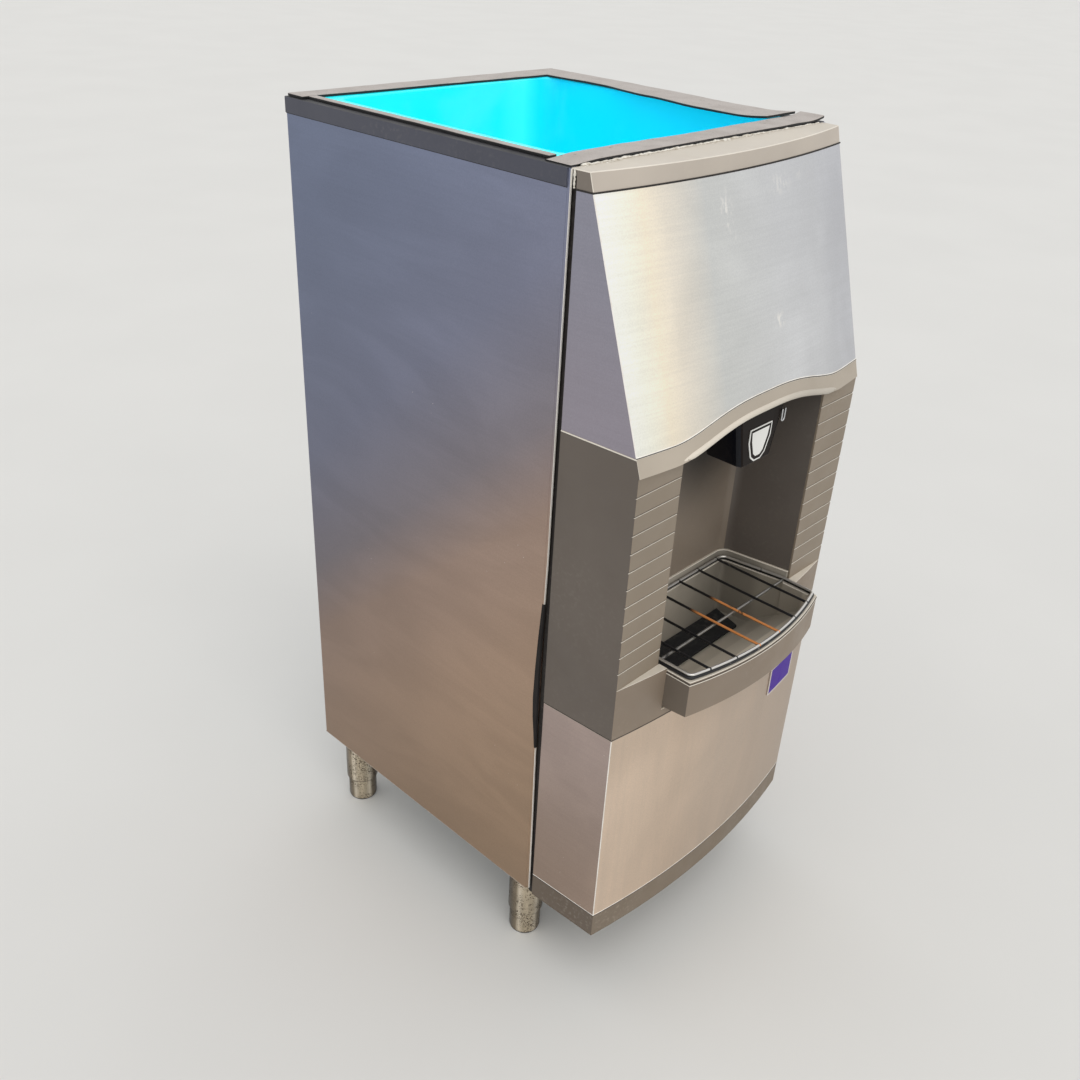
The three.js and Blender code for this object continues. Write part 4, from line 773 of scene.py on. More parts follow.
def makeMat():
    low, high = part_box("sink_mat")
    size = inMetres(mat)
    shape = blockBetween((-size.half, fitShift - size.front, low.z),
                         (size.half, fitShift - size.back, high.z))
    middle = Matrix.Translation((0, fitShift - (size.front + size.back) / 2, 0))
    shear = Matrix.Shear("XZ", 4, (0, 0))
    shear[0][1] = mat["skewShare"]
    bmesh.ops.transform(shape, matrix=middle @ shear @ middle.inverted(), verts=shape.verts)
    roundEdges(shape, size.edge, 3, 40)
    makePiece(shape, "drip_mat", "blackRubber", "mat", ["sink_mat"], 50)


makeMat()


def leaning(z):  # how far forward the leaning face stands at a height, and its bow
    size = inMetres(fascia)
    up = (z - size.bellyLevel) / (size.capLevel - size.bellyLevel)
    front = size.bellyFront + (size.capFront - size.bellyFront) * up
    return front, size.bellyBow + (size.capBow - size.bellyBow) * up


def cheekHalfAt(depth):
    return fascia["rearHalf"] * mm - fascia["draft"] * depth


def frontPoint(x, z, front, bow):
    return Vector((x, fitShift - front - bow * (1 - (x / cheekHalfAt(front)) ** 2), z))


def cheekLine(z, front):
    depths = [fascia["rearDepth"] * mm, front / 2, front]
    return [Vector((cheekHalfAt(depth), fitShift - depth, z)) for depth in depths]


def mirroredLine(points):
    return [Vector((-point.x, point.y, point.z)) for point in points]


def bothSides(points):
    return [points, mirroredLine(points)]


def levelLine(z, front, bow):  # round the left cheek, the front and the right cheek at one height
    cheek = cheekLine(z, front)
    half = cheek[-1].x
    face = [frontPoint(half * share, z, front, bow) for share in evenly(16)[1:-1]]
    return mirroredLine(cheek) + face + cheek[::-1]


def makeArchBead():
    size = inMetres(fascia)
    points, radii = [], []
    for share in evenly(32):
        x = size.lipEnd * share
        z = size.lipLevel + size.lipRise * archRise(x) + size.beadRadius / 2
        points.append(frontPoint(x, z, *leaning(z)) + Vector((0, size.wall, 0)))
        radii.append(min(1, 0.12 + 5 * (1 - abs(share))))
    makeWires("arch_bead", [points], size.beadRadius, "trimBead", radii=radii)


makeArchBead()

# Hemmed edges along the seams, coloured as painted highlights, and dark lines of painted shadow in them
print("seams")
seams = dict(cheekHem=0.9, archHem=0.8, lowHem=0.5, seal=1.1, shadow=0.55, sealAhead=0.2, gap=1,
             lowerLevel=554.3, lowerFront=138.5, lowerBow=23, kickLevel=187.5, kickBow=26.4, bandDrop=22.6)


def makeSeams():
    size = inMetres({**fascia, **seams})
    cheekTop = size.bellyLevel - size.cheekHem
    cheek = cheekLine(cheekTop, leaning(cheekTop)[0])
    half = cheekHalfAt(size.bellyFront)
    arch = []
    for share in evenly(32):
        x = half * share
        z = size.bellyLevel + size.seamRise * archRise(x) + size.gap + size.archHem
        arch.append(frontPoint(x, z, *leaning(z)))
    below = Vector((0, -size.sealAhead, -size.archHem - size.shadow))
    lowerTop = size.lowerLevel - size.lowHem
    lowerShadowLevel = size.lowerLevel + size.shadow
    kickTop = size.kickLevel + size.gap + size.lowHem
    kickShadowLevel = size.kickLevel + size.gap / 2 - size.shadow / 2
    capShadowLevel = size.capLevel - size.seal / 2
    lower, kick = (size.lowerFront, size.lowerBow), (size.lowerFront, size.kickBow)
    low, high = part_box("side_panel_left")
    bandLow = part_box("rim_band_left")[1].z - size.bandDrop
    sole, under = ([Vector((low.x, y, z)) for y in (low.y, high.y)] for z in (low.z, bandLow))
    for name, lines, hem, finish in (
            ("cheek_top_edge_highlights", bothSides(cheek), size.cheekHem, "mouldingEdgeHighlight"),
            ("upper_panel_hem_highlight", [arch], size.archHem, "steelEdgeHighlight"),
            ("arch_shadow_line", [[point + below for point in arch]], size.shadow, "gapRubberAndShadowLine"),
            ("lower_panel_top_hem_highlight", [levelLine(lowerTop, *lower)], size.lowHem, "dullEdgeHighlight"),
            ("lower_panel_foot_hem_highlight", [levelLine(kickTop, *kick)], size.lowHem, "steelEdgeHighlight"),
            ("lower_panel_shadow_lines", [levelLine(lowerShadowLevel, *lower), levelLine(kickShadowLevel, *kick)], size.shadow,
             "gapRubberAndShadowLine"),
            ("cap_shadow_line", [levelLine(capShadowLevel, *leaning(capShadowLevel))], size.seal, "gapRubberAndShadowLine"),
            ("side_panel_hem_highlights", bothSides(sole), size.lowHem, "dullEdgeHighlight"),
            ("band_shadow_lines", bothSides(under), size.lowHem, "gapRubberAndShadowLine")):
        makeWires(name, lines, hem, finish)


makeSeams()

# Beside the fascia: the side panels' rolled front edges, which leave a tapering gap, with a painted
# highlight on their fronts, and a near-black strip of painted shade laid over them where the gap is widest;
# a level is (height, run back, run forward)
print("panel edges")
edgeRoll = dict(proud=0, width=3.2, ease=0.6,
                levels=[(155, 0, 6.5), (330, 0, 4.5), (470, 0, 2.2), (560, 0, 0.4), (640, 0, 0.4),
                        (720, 0, 3.0), (800, 0, 4.6), (1312, 0, 4.8), (1335, 0, 4.8)])
# painted shade: a near-black strip over the widest part of the gap
gapShade = dict(proud=0.4, width=4.2, ease=0.15,
              levels=[(462, 0.3, 2.6), (490, 3, 2.2), (520, 6.5, 1.6), (556, 8.2, 0.9), (610, 7, 0.8),
                      (665, 4.5, 1.6), (705, 2, 2.9), (730, 0.3, 3.6)])


def edgeStrip(name, side, strip):  # square rings up one panel's front edge, bridged and closed
    low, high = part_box("side_panel_" + name)
    outer = (high.x if side > 0 else low.x) + side * strip["proud"] * mm
    inner = outer - side * strip["width"] * mm
    shape = bmesh.new()
    rings = []
    for level, back, ahead in strip["levels"]:
        corners = [(outer, back), (outer, -ahead), (inner, -ahead), (inner, back)]
        verts = [shape.verts.new((x, low.y + run * mm, level * mm)) for x, run in corners]
        rings.append([shape.edges.new((verts[i], verts[(i + 1) % 4])) for i in range(4)])
    for first, second in zip(rings, rings[1:]):
        bmesh.ops.bridge_loops(shape, edges=first + second)
    for end in (rings[0], rings[-1]):
        bmesh.ops.contextual_create(shape, geom=end)
    faceOut(shape)
    return shape


def makeEdgeRoll(name, side):
    shape = edgeStrip(name, side, edgeRoll)
    # painted highlight: the roll's front faces and front bevels take the bright edge finish
    secondFinish(shape.faces, lambda face: face.normal.y < -0.5)
    secondFinish(roundEdges(shape, edgeRoll["ease"] * mm, 2, 50), lambda face: face.normal.y < -0.2)
    makePiece(shape, "edge_roll_" + name, "steelSide", sharp=40, others=["steelEdgeHighlight"])


def makeGapShade(name, side):
    shape = edgeStrip(name, side, gapShade)
    roundEdges(shape, gapShade["ease"] * mm, 2, 50)
    makePiece(shape, "gap_shade_strip_" + name, "gapShade", sharp=60)


for makeStrip in (makeEdgeRoll, makeGapShade):
    makeStrip("left", -1)
    makeStrip("right", 1)

# Bin liner: a moulded bowl with round corners, a hopper floor and a flange under the foam strips
print("bin liner")
binLiner = dict(wall=3, sideFlange=38.1, frontFlange=43.5, rearFlange=33.7, hopperRun=60, hopperRise=70,
                corner=26, cornerTall=20, foot=14, footZone=4, lip=3, behindStrip=9, ductHalf=44.8,
                ductLow=1068, ductHigh=1124, ductReach=20)
tapedFlange = dict(low=(10, 30, 0), high=(10, 10, 0))  # the black outer ring under the strips


def pickKind(items, kind):
    return [item for item in items if isinstance(item, kind)]


def stretchTo(vert, was, now):  # a place in one box moved to the same place in another
    for i in (0, 1):
        ratio = (now[1][i] - now[0][i]) / (was[1][i] - was[0][i])
        vert.co[i] = (now[0][i] + now[1][i]) / 2 + (vert.co[i] - (was[0][i] + was[1][i]) / 2) * ratio


def makeBinLiner():
    low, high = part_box("bin_liner")
    size = inMetres(binLiner)
    mouthLow = low + Vector((size.sideFlange, size.frontFlange, size.wall))
    mouthHigh = high - Vector((size.sideFlange, size.rearFlange, 0))
    shape = blockBetween(mouthLow, mouthHigh)
    shoulder = mouthLow.z + size.hopperRise
    bmesh.ops.bisect_plane(shape, geom=shape.verts[:] + shape.edges[:] + shape.faces[:],
                           plane_co=(0, 0, shoulder), plane_no=(0, 0, 1))
    narrow = (mouthHigh.x - size.hopperRun) / mouthHigh.x
    floorVerts = [vert for vert in shape.verts if vert.co.z < mouthLow.z + mm]
    bmesh.ops.scale(shape, vec=(narrow, 1, 1), verts=floorVerts)
    roof = [face for face in shape.faces if face.normal.z > 0.9]
    bmesh.ops.delete(shape, geom=roof, context="FACES")

    def isCorner(edge):
        run = edge.verts[0].co - edge.verts[1].co
        return abs(run.normalized().y) < 0.1 and abs(run.z) > size.cornerTall

    def isFoot(edge):
        return max(vert.co.z for vert in edge.verts) < shoulder + size.footZone

    roundEdges(shape, size.corner, 6, 30, isCorner)
    roundEdges(shape, size.foot, 4, 20, isFoot)
    rim = [edge for edge in shape.edges if len(edge.link_faces) == 1]
    box = (mouthLow, mouthHigh)
    tapedLow, tapedHigh = (Vector(tapedFlange[end]) * mm for end in ("low", "high"))
    for finish, target in enumerate(((low + tapedLow, high - tapedHigh), (low, high))):
        grown = bmesh.ops.extrude_edge_only(shape, edges=rim)["geom"]
        for vert in pickKind(grown, bmesh.types.BMVert):
            stretchTo(vert, box, target)
            vert.co.y = max(vert.co.y, low.y + size.behindStrip)
        for face in pickKind(grown, bmesh.types.BMFace):
            face.material_index = finish
        rim = [edge for edge in pickKind(grown, bmesh.types.BMEdge) if len(edge.link_faces) == 1]
        box = target
    lip = [edge for edge in shape.edges
           if all(abs(vert.co.z - mouthHigh.z) < 0.01 * mm for vert in edge.verts)
           and len(edge.link_faces) == 2 and edge.calc_face_angle(0) > 1]
    bevelEdges(shape, lip, size.lip, 4, False)
    faceOut(shape)
    middle = (mouthLow + mouthHigh) / 2
    inward = sum(face.normal.dot(middle - face.calc_center_median())
                 for face in shape.faces if face.normal.z < 0.5)
    if inward < 0:
        bmesh.ops.reverse_faces(shape, faces=shape.faces)
    piece = makePiece(shape, "bin_bowl", "binPlastic", "cabinet", ["bin_liner"], others=["foamEdge"])
    piece.modifiers.clear()
    thick = piece.modifiers.new("wall", "SOLIDIFY")
    thick.thickness = size.wall
    thick.offset = -1
    applyModifiers(piece)
    cutAway(piece, blockBetween((-size.ductHalf, mouthLow.y - size.ductReach, size.ductLow),
                                (size.ductHalf, mouthLow.y + size.ductReach, size.ductHigh)))
    shadeEvenly(piece, 40)


makeBinLiner()

# Foam strips: cut by hand, a little wavy, with black sides; offsets from the outer side are in mm
print("foam strips")
foam = dict(cell=7, edge=1.3, unevenness=0.5, pressedTo=1.2)
foamStrips = [
    dict(node="foam_strip_rear", run="X", inner=(-36, -40, -43, -48, -52), wave=1.4, seed=3),
    dict(node="foam_strip_front", run="X", inner=(42, 44, 40, 43, 42), wave=1.0, seed=7, lift=4.0,
         liftFrom=0.93, pressed=0.09),
    dict(node="foam_strip_right", run="Y", outer=(-9, -11, -4, 0, 0), inner=(-86, -90, -75, -58, -62),
         wave=2.0, seed=11, lift=-4.5, liftFrom=0.12),
    dict(node="foam_strip_left", run="Y", inner=(14, 13, 14, 13, 14), wave=0.7, seed=17),
]


def along(values, share):  # a smooth value between evenly spaced ones
    spot = min(max(share, 0), 1) * (len(values) - 1)
    first = min(int(spot), len(values) - 2)
    blend = spot - first
    blend = blend * blend * (3 - 2 * blend)
    return values[first] * (1 - blend) + values[first + 1] * blend


def makeFoamStrip(node, run, inner, wave, seed, outer=(0, 0), lift=0.0, liftFrom=0.0, pressed=0.0):
    low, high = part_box(node)
    lengthwise, crosswise = (0, 1) if run == "X" else (1, 0)
    base = low if inner[0] > 0 else high  # the strip's outer side
    length = high[lengthwise] - low[lengthwise]
    cells = max(8, round(length / (foam["cell"] * mm)))
    shape = bmesh.new()
    bmesh.ops.create_grid(shape, x_segments=cells, y_segments=5, size=0.5)
    sole = bmesh.ops.extrude_face_region(shape, geom=shape.faces[:])["geom"]
    shift(shape, (0, 0, -1), pickKind(sole, bmesh.types.BMVert))
    faceOut(shape)
    for vert in shape.verts:
        share, across = vert.co.x + 0.5, vert.co.y + 0.5
        atTop = vert.co.z > -0.5
        reach = share * length
        sway = wave * (noise.noise((reach * 9, seed, 0)) + 0.4 * noise.noise((reach * 31, seed, 4)))
        outward = 0.3 * abs(sway) * (1 if inner[0] > 0 else -1)
        sides = [along(outer, share) + outward, along(inner, share) + sway]
        place = Vector((0, 0, high.z if atTop else low.z))
        place[lengthwise] = low[lengthwise] + length * share
        place[crosswise] = base[crosswise] + (sides[0] + (sides[1] - sides[0]) * across) * mm
        if atTop:
            place.z -= foam["unevenness"] * mm * (1 + noise.noise((place.x * 22, place.y * 22, seed)))
        if atTop and share < pressed:
            place.z -= (high.z - low.z - foam["pressedTo"] * mm) * (1 - share / pressed) ** 1.5
        if lift > 0 and share > liftFrom:
            place.z += lift * mm * ((share - liftFrom) / (1 - liftFrom)) ** 2
        if lift < 0 and share < liftFrom:
            place.z -= lift * mm * (1 - share / liftFrom) ** 2
        vert.co = place
    shape.normal_update()
    faceOut(shape)
    shape.normal_update()
    secondFinish(shape.faces, lambda face: face.normal.z <= 0.45)
    secondFinish(roundEdges(shape, foam["edge"] * mm, 3, 60), lambda face: face.normal.z <= 0.3)
    piece = makePiece(shape, node + "_tape", "foamTape", "cabinet", [node], 60, ["foamEdge"])


for choice in foamStrips:
    makeFoamStrip(**choice)

# Legs: turned tubes and feet
print("legs")
leg = dict(chamfer=2.6, seamDepth=1.6, padHeight=2.2, padEase=0.8, stemBore=11, stemGap=1, boreDepth=30,
           shade=2.2, shoulder=149.7, shoulderEase=1.4, round=2, ease=0.6, spigot=6, seatGap=0.3)


def makeLegs():
    size = inMetres(leg)
    bore, top, shadedBase, rounding = size.stemBore, size.shoulder, size.padHeight, size.round
    for place in ("front_left", "front_right", "rear_left", "rear_right"):
        low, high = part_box("leg_tube_" + place)
        footLow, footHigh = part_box("levelling_foot_" + place)
        centre = ((low.x + high.x) / 2, (low.y + high.y) / 2, 0)
        radius, footRadius = (high.x - low.x) / 2, (footHigh.x - footLow.x) / 2
        tube = spun([(bore, low.z + size.boreDepth), (bore, low.z), (radius - rounding, low.z),
                     (radius - size.ease, low.z + size.ease), (radius, low.z + rounding),
                     (radius, top - rounding), (radius - size.shoulderEase, top), (size.spigot, top),
                     (size.spigot, high.z), (0, high.z)], centre, 64)
        secondFinish(tube.faces, lambda face: face.calc_center_median().z < low.z + size.shade)
        makePiece(tube, "leg_" + place, "legSteel", "cabinet", ["leg_tube_" + place], 50, ["grooveShade"])
        seat = low.z - size.seatGap
        stem = bore - size.stemGap
        foot = spun([(0, 0), (footRadius - size.chamfer / 2, 0), (footRadius - size.padEase, shadedBase),
                     (footRadius, shadedBase + size.chamfer), (footRadius, seat - size.seamDepth),
                     (footRadius - size.seamDepth, seat), (stem, seat), (stem, footHigh.z),
                     (0, footHigh.z)], centre, 64)
        # painted shade: the foot's base ring is black as a painted contact shadow, and its top by the seam
        # black as painted shade
        secondFinish(foot.faces, lambda face: not shadedBase <= face.calc_center_median().z <= seat - size.shade)
        makePiece(foot, f"foot_{place}_turned", "legSteel", "foot_" + place, ["levelling_foot_" + place], 50,
                  ["blackRubber"])


makeLegs()

# Wire grille: two rim wires, six bars and a cross bar, welded and dipped
print("grille")
grille = dict(ring=2.5, highRing=2.3, crossWire=2.25, bar=2.1, weld=2.625, weldInset=1.2, sag=0.5, bow=25.5,
              cornerRadius=8, rearRadius=13.5, pitch=52, crossAt=133, crossHalf=166.5, mouthAt=135.2,
              mouthHalf=167.5, frontHalf=166, rearHalf=151.5, frontAt=191, rearAt=20.5)
grilleBars = dict(count=6, coppered=(2, 3))
grilleShares = dict(front=0.93, highRing=0.985, cornerShift=0.745)
cornerTurn = math.radians(73)


def grilleLoop(height, drawIn=1.0):
    size = inMetres(grille)
    front = []
    for share in evenly(12):
        share *= grilleShares["front"]
        front.append((size.frontHalf * share, -size.frontAt - size.bow * (1 - share * share)))
    right = []
    for i in range(9):
        angle = -cornerTurn * (1 - i / 8)
        back = grilleShares["cornerShift"] + math.sin(angle)
        right.append((size.frontHalf - size.cornerRadius * (1 - math.cos(angle)),
                      -size.frontAt + size.cornerRadius * back))
    right.append((size.mouthHalf, -size.mouthAt))
    for i in range(9):
        angle = math.pi / 2 * i / 8
        right.append((size.rearHalf - size.rearRadius * (1 - math.cos(angle)),
                      -size.rearAt - size.rearRadius * (1 - math.sin(angle))))
    loop = front + right + [(-x, y) for x, y in reversed(right)]
    middle = -size.mouthAt
    return [(x * drawIn, middle + (y - middle) * drawIn + fitShift, height) for x, y in loop]


def makeGrille():
    size = inMetres(grille)
    low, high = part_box("wire_grille")
    lowRing, highRing = low.z + size.ring, high.z - size.ring
    cross = [(size.crossHalf * share, fitShift - size.crossAt, lowRing) for share in evenly(6)]
    makeWires("grille_low_ring", [grilleLoop(lowRing)], size.ring, "ringBlack", "grille", ["wire_grille"],
              70, True)
    makeWires("grille_high_ring", [grilleLoop(highRing, grilleShares["highRing"])], size.highRing,
              "ringSilver", "grille", (), 70, True)
    makeWires("grille_cross_wire", [cross], size.crossWire, "crossWire", "grille", (), 70)
    for number in range(grilleBars["count"]):
        x = size.pitch * (number - (grilleBars["count"] - 1) / 2)
        front = fitShift - size.frontAt - size.bow * (1 - (x / size.frontHalf) ** 2)
        rear = fitShift - size.rearAt
        bar = bmesh.new()
        shares = [i / 16 for i in range(17)]
        addWire(bar, [(x, front + (rear - front) * share, highRing - size.sag * math.sin(math.pi * share))
                      for share in shares], size.bar)
        for end in (front + size.weldInset, rear - size.weldInset):
            blob = bmesh.new()
            bmesh.ops.create_uvsphere(blob, u_segments=12, v_segments=8, radius=size.weld)
            shift(blob, (x, end, highRing))
            joinedWith(bar, blob)
        coat = "copperWire" if number in grilleBars["coppered"] else "barWire"
        makePiece(bar, f"grille_bar_{number + 1}", coat, "grille", (), 70)


makeGrille()

# Chute: a glossy black funnel with rounded corners, and a plain label with a dark line round it
print("chute")
chute = dict(corner=6, ease=0.6, cornerFoot=930, cornerTop=1000, frontDepth=115.75, labelBorder=2.4,
             labelLine=5.5)


def makeChute():
    size = inMetres(chute)
    shape = copyOf("ice_chute")
    secondFinish(shape.faces, lambda face: face.normal.y < -0.7)
    low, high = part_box("ice_chute")
    middle = (low + high) / 2

    def frontCorner(edge):
        levels = sorted(vert.co.z for vert in edge.verts)
        return (levels[0] < size.cornerFoot and levels[1] > size.cornerTop and looksOut(edge, middle)
                and min(vert.co.y for vert in edge.verts) < fitShift - size.frontDepth)

    roundEdges(shape, size.corner, 4, 20, frontCorner)
    roundEdges(shape, size.ease, 2, 45, lambda edge: looksOut(edge, middle))
    makePiece(shape, "chute_funnel", "blackGloss", "chute", ["ice_chute"], 32, ["chuteFront"])
    label = copyOf("chute_label_plate")
    fronts = [face for face in label.faces if face.normal.y < -0.9]
    for width, finish in ((size.labelBorder, 1), (size.labelLine, 0)):
        bmesh.ops.inset_region(label, faces=fronts, thickness=width, depth=0)
        for face in fronts:
            face.material_index = finish
    makePiece(label, "chute_label", "whiteLabel", "chute", ["chute_label_plate"], others=["chuteFront"])


makeChute()

# Badge: a plain violet film with a pale border
print("badge")
badge = dict(border=4.2, slack=0.2)


def makeBadge():
    size = inMetres(badge)
    shape = copyOf("badge_plate")
    widest = max((face for face in shape.faces if face.normal.y < -0.7), key=lambda face: face.calc_area())
    fronts = [face for face in shape.faces if face.normal.dot(widest.normal) > 0.97 and face.normal.y < -0.7]
    bmesh.ops.inset_region(shape, faces=fronts, thickness=size.border, depth=0)
    low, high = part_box("badge_plate")
    edge = size.border - size.slack
    for face in shape.faces:
        middle = face.calc_center_median()
        inside = low.x + edge < middle.x < high.x - edge and low.z + edge < middle.z < high.z - edge
        face.material_index = 0 if inside and face.normal.y < -0.7 else 1
    makePiece(shape, "badge_film", "badgeFilm", "cabinet", ["badge_plate"], others=["badgeEdge"])


makeBadge()

# Drain outlets at the back, with three barbs for a hose
print("rear fittings")
outlet = dict(bore=10, nipple=13, flange=22, thick=3, seatGap=0.3, backEase=0.6, frontEase=0.8, barbGap=1.5,
              barbPitch=3.4, barbDepth=0.9, barbRise=0.5, tipEase=1.2)
outletBarbs = 3


def makeOutlets():
    size = inMetres(outlet)
    bore, nipple, flange = size.bore, size.nipple, size.flange
    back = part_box("rear_panel")[1].y + size.seatGap
    front = back + size.thick
    for node in ("sink_drain_outlet", "bin_drain_outlet"):
        low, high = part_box(node)
        centre = ((low.x + high.x) / 2, 0, (low.z + high.z) / 2)
        profile = [(bore, low.y), (nipple, low.y), (nipple, back), (flange - size.backEase, back),
                   (flange, back + size.backEase), (flange, front - size.frontEase),
                   (flange - size.frontEase, front), (nipple, front)]
        for barb in range(outletBarbs):
            start = front + size.barbGap + barb * size.barbPitch
            profile += [(nipple - size.barbDepth, start), (nipple, start + size.barbRise)]
        profile += [(nipple - size.tipEase, high.y), (bore, high.y), (bore, low.y)]
        makePiece(spun(profile, centre, 48, True), node + "_barbed", "whitePlastic", "cabinet", [node], 30)


makeOutlets()

# Screws that hold the rear panel
print("screws")
screw = dict(head=4.2, crown=2.94, height=1.9, slot=2.3, slotReach=1.38, slotDepth=0.9, inset=12)
screwShares = (0.03, 0.27, 0.5, 0.73, 0.96)  # up the panel
screwTurn = 1.1  # from one head's slot to the next one's


def makeScrews(name, places):  # heads that face the rear
    size = inMetres(screw)
    shape = bmesh.new()
    for number, place in enumerate(places):
        head = bmesh.new()
        bmesh.ops.create_cone(head, cap_ends=True, segments=20, radius1=size.head, radius2=size.crown,
                              depth=size.height)
        top = [face for face in head.faces if face.normal.z > 0.9]
        bmesh.ops.inset_region(head, faces=top, thickness=size.crown - size.slot / 2)
        slotVerts = [vert for vert in head.verts if vert.co.to_2d().length < size.slotReach]
        shift(head, (0, 0, -size.slotDepth), slotVerts)
        shift(head, (0, 0, size.height / 2))
        turn(head, number * screwTurn, "Z")
        turn(head, -math.pi / 2, "X")
        shift(head, place)
        joinedWith(shape, head)
    makePiece(shape, name, "brightSteel", sharp=30)


rearLow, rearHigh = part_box("rear_panel")
screwX = rearHigh.x - screw["inset"] * mm
makeScrews("rear_panel_screws", [(side * screwX, rearHigh.y, rearLow.z + (rearHigh.z - rearLow.z) * share)
                                 for side in (-1, 1) for share in screwShares])

# A small bent-wire clip on the front of the chute
print("clip")
clip = dict(x=49, width=7.5, front=143.8, low=970, high=989, wire=1.3)


def makeClip():
    size = inMetres(clip)
    bend = size.width / 2
    turnLevel = size.low + bend
    line = [(0, size.high), (0.2 * bend, turnLevel)]
    for i in range(1, 8):
        angle = math.pi * (1 + i / 8)
        line.append((bend * (1 + math.cos(angle)), turnLevel + bend * math.sin(angle)))
    line += [(size.width, turnLevel), (size.width, size.high)]
    points = [(size.x + x, fitShift - size.front, z) for x, z in line]
    makeWires("chute_pin_clip", [points], size.wire, "brightSteel", "chute")


makeClip()

# Two fine lines round the tray below its rim, a painted highlight and a painted shade line: (height, radius,
# finish)
print("tray lines")
trayLines = dict(half=171, corner=195.15, cornerCut=1, bow=25.5, sideFrom=141)
trayLineLevels = [(636.2, 0.8, "mouldingEdgeHighlight"), (638.3, 0.7, "grooveShade")]


def makeTrayLines():
    size = inMetres(trayLines)
    half, corner = size.half, fitShift - size.corner
    for number, (level, radius, finish) in enumerate(trayLineLevels, 1):
        z = level * mm
        left = [Vector((-half, y, z)) for y in (fitShift - size.sideFrom, corner + size.cornerCut)]
        front = [Vector((half * share, corner - size.bow * (1 - share ** 2), z)) for share in evenly(16)]
        makeWires(f"tray_line_{number}", [left + front + mirroredLine(left)[::-1]], radius * mm, finish)


makeTrayLines()

# White sealant: a torn bead along the cap's rear edge, crumbs beside it and a drip at its left end
print("sealant")
sealant = dict(startAt=-258, endAt=262, strongTo=120, inFront=1.5, sway=1.2, radius=1.9, dripAt=7,
               dripSway=1.4, dripRun=22)
sealantSteps = 240
faintShare = 0.62  # of the bead's radius, past the strong part
crumbs = dict(count=46, seed=5, run=470, near=3.5, far=8.0, smallest=0.6, largest=1.5)


def makeSealant():
    size = inMetres(sealant)
    low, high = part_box("top_cap")
    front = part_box("foam_strip_front")[0].y
    shape = bmesh.new()
    rings = []
    for i in range(sealantSteps + 1):
        x = size.startAt + (size.endAt - size.startAt) * i / sealantSteps
        fade = 1.0 if x < size.strongTo else faintShare
        torn = 0.75 + 0.8 * noise.noise((x * 70, 0, 3)) + 0.35 * noise.noise((x * 260, 0, 9))
        radius = size.radius * fade * max(0.25, torn)
        y = front - size.inFront + size.sway * noise.noise((x * 30, 5, 0))
        ring = bmesh.ops.create_circle(shape, segments=8, radius=1.0)["verts"]
        bmesh.ops.scale(shape, vec=(radius * 1.5, radius * 0.75, 1), verts=ring)
        turn(shape, math.pi / 2, "Y", ring)
        turn(shape, math.pi / 2, "X", ring)
        shift(shape, (x, y, high.z + radius * 0.5), ring)
        rings.append(list({edge for vert in ring for edge in vert.link_edges}))
    for first, second in zip(rings, rings[1:]):
        bmesh.ops.bridge_loops(shape, edges=first + second)
    bmesh.ops.holes_fill(shape, edges=rings[0] + rings[-1], sides=0)
    faceOut(shape)
    addCrumbs(shape, size.startAt, front, high.z)
    drip, radii = [], []
    for i in range(13):
        wander = size.dripSway * noise.noise((i * 0.7, 2, 8))
        drip.append((low.x, front - size.dripAt - wander, high.z - size.dripRun * i / 12))
        radii.append(1.0 + 0.5 * noise.noise((i * 1.3, 7, 1)) - 0.4 * i / 12)
    addWire(shape, drip, size.radius, radii=radii)
    makePiece(shape, "sealant_bead", "sealant", sharp=80)


def addCrumbs(shape, start, front, level):
    size = inMetres(crumbs)
    draw = random.Random(crumbs["seed"])
    for number in range(crumbs["count"]):
        x = start + size.run * draw.random() ** 1.3
        y = front - draw.uniform(size.near, size.far)
        radius = draw.uniform(size.smallest, size.largest)
        crumb = bmesh.new()
        bmesh.ops.create_icosphere(crumb, subdivisions=2, radius=1.0)
        for vert in crumb.verts:
            vert.co *= 1 + 0.5 * noise.noise(vert.co * 1.7 + Vector((number, 0, 0)))
        stretch = (radius * draw.uniform(1.2, 4.0), radius, radius * 0.35)
        bmesh.ops.scale(crumb, vec=stretch, verts=crumb.verts)
        turn(crumb, draw.uniform(-0.2, 0.2), "Z")
        shift(crumb, (x, y, level + radius * 0.2))
        joinedWith(shape, crumb)


makeSealant()

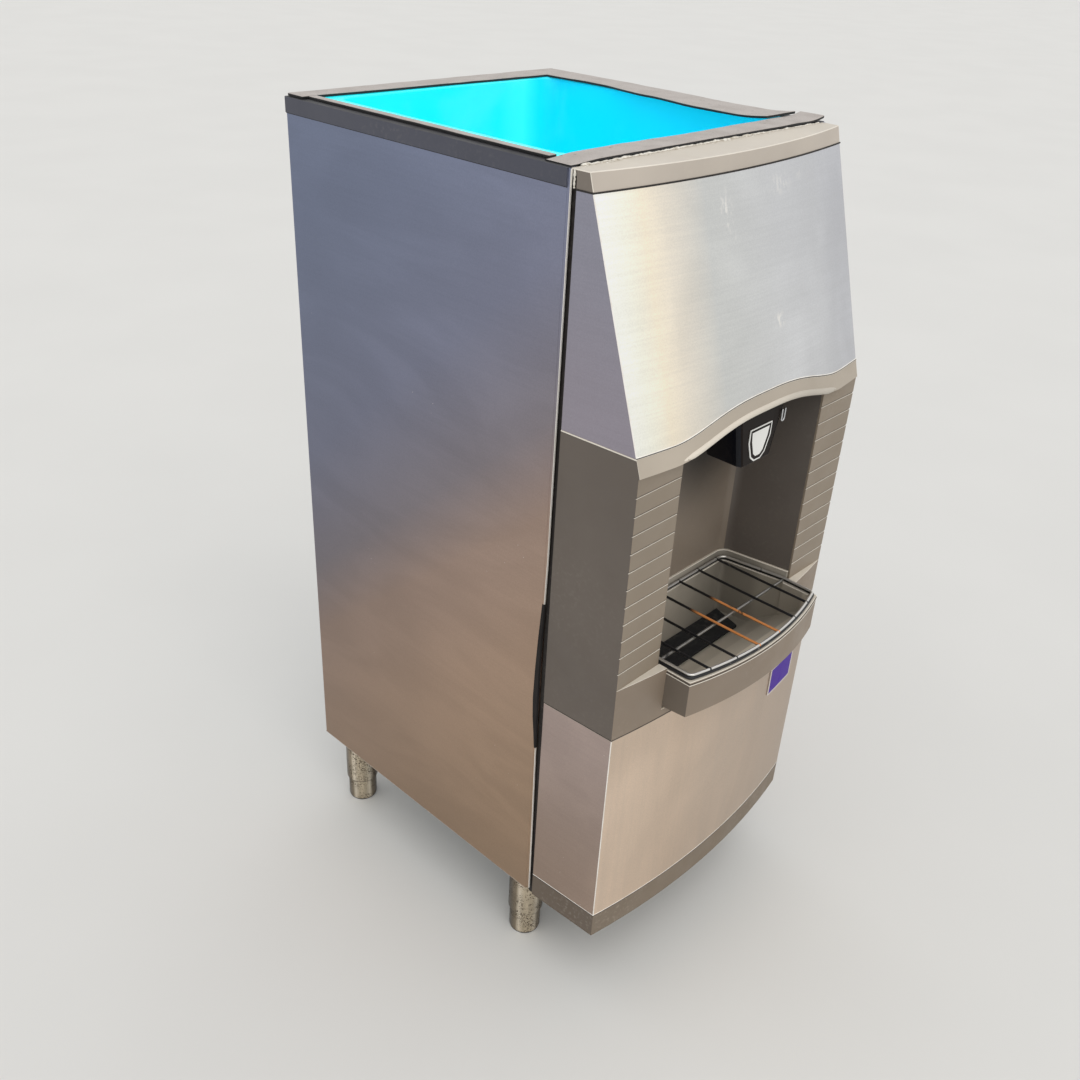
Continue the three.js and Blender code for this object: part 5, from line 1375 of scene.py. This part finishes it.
# Studio: pale floor and soft lights
print("studio")
studio = dict(floorHalf=60, worldLight=0.74, backdrop="#eeeeef", floor="#dededc")
suns = [
    dict(name="highWindow", fromPlace=(-0.45, -1.0, 1.25), strength=0.75, spread=55, tint="#fffaf2"),
    dict(name="ceiling", fromPlace=(0.1, 0.25, 1.0), strength=0.35, spread=80, tint="#ffffff"),
]


def addSun(name, fromPlace, strength, spread, tint):
    data = bpy.data.lights.new(name, "SUN")
    data.energy = strength
    data.angle = math.radians(spread)
    data.color = paint(tint)[:3]
    sun = bpy.data.objects.new(name, data)
    bpy.context.scene.collection.objects.link(sun)
    sun.matrix_world = Vector(fromPlace).to_track_quat("Z", "Y").to_matrix().to_4x4()


def addFloor():
    shape = bmesh.new()
    bmesh.ops.create_grid(shape, x_segments=1, y_segments=1, size=studio["floorHalf"])
    floor = addPiece("floor", shape)
    ground = Finish(studio["floor"], {"Roughness": 0.85, "Specular IOR Level": 0.2})
    mottle = ground.patches(1.5, 3.0, 0.3, 0.7, 0.0, 0.3)
    ground.colour(ground.mix(mottle, studio["floor"], darker(studio["floor"], 0.97)))
    ground.material.name = "paleFloor"
    floor.data.materials.append(ground.material)


def addSky():  # the camera, glossy and transmission rays see the backdrop; the rest is the soft light
    world = bpy.data.worlds.new("studio")
    world.use_nodes = True
    bpy.context.scene.world = world
    sky = NodeTree(world.node_tree)
    light = sky.nodes["Background"]
    sky.feed(light.inputs["Color"], "#ffffff")
    sky.feed(light.inputs["Strength"], studio["worldLight"])
    seen = sky.add("Background", {"Color": studio["backdrop"]})
    rays = sky.add("LightPath").outputs
    seenRay = sky.maths("MAXIMUM", sky.maths("MAXIMUM", rays["Is Camera Ray"], rays["Is Glossy Ray"]),
                        rays["Is Transmission Ray"])
    shown = sky.add("MixShader", {0: seenRay, 1: light.outputs[0], 2: seen.outputs[0]})
    sky.feed(sky.nodes["World Output"].inputs["Surface"], shown.outputs[0])


addFloor()
addSky()
for sun in suns:
    addSun(**sun)
bpy.context.scene.view_settings.view_transform = "Standard"
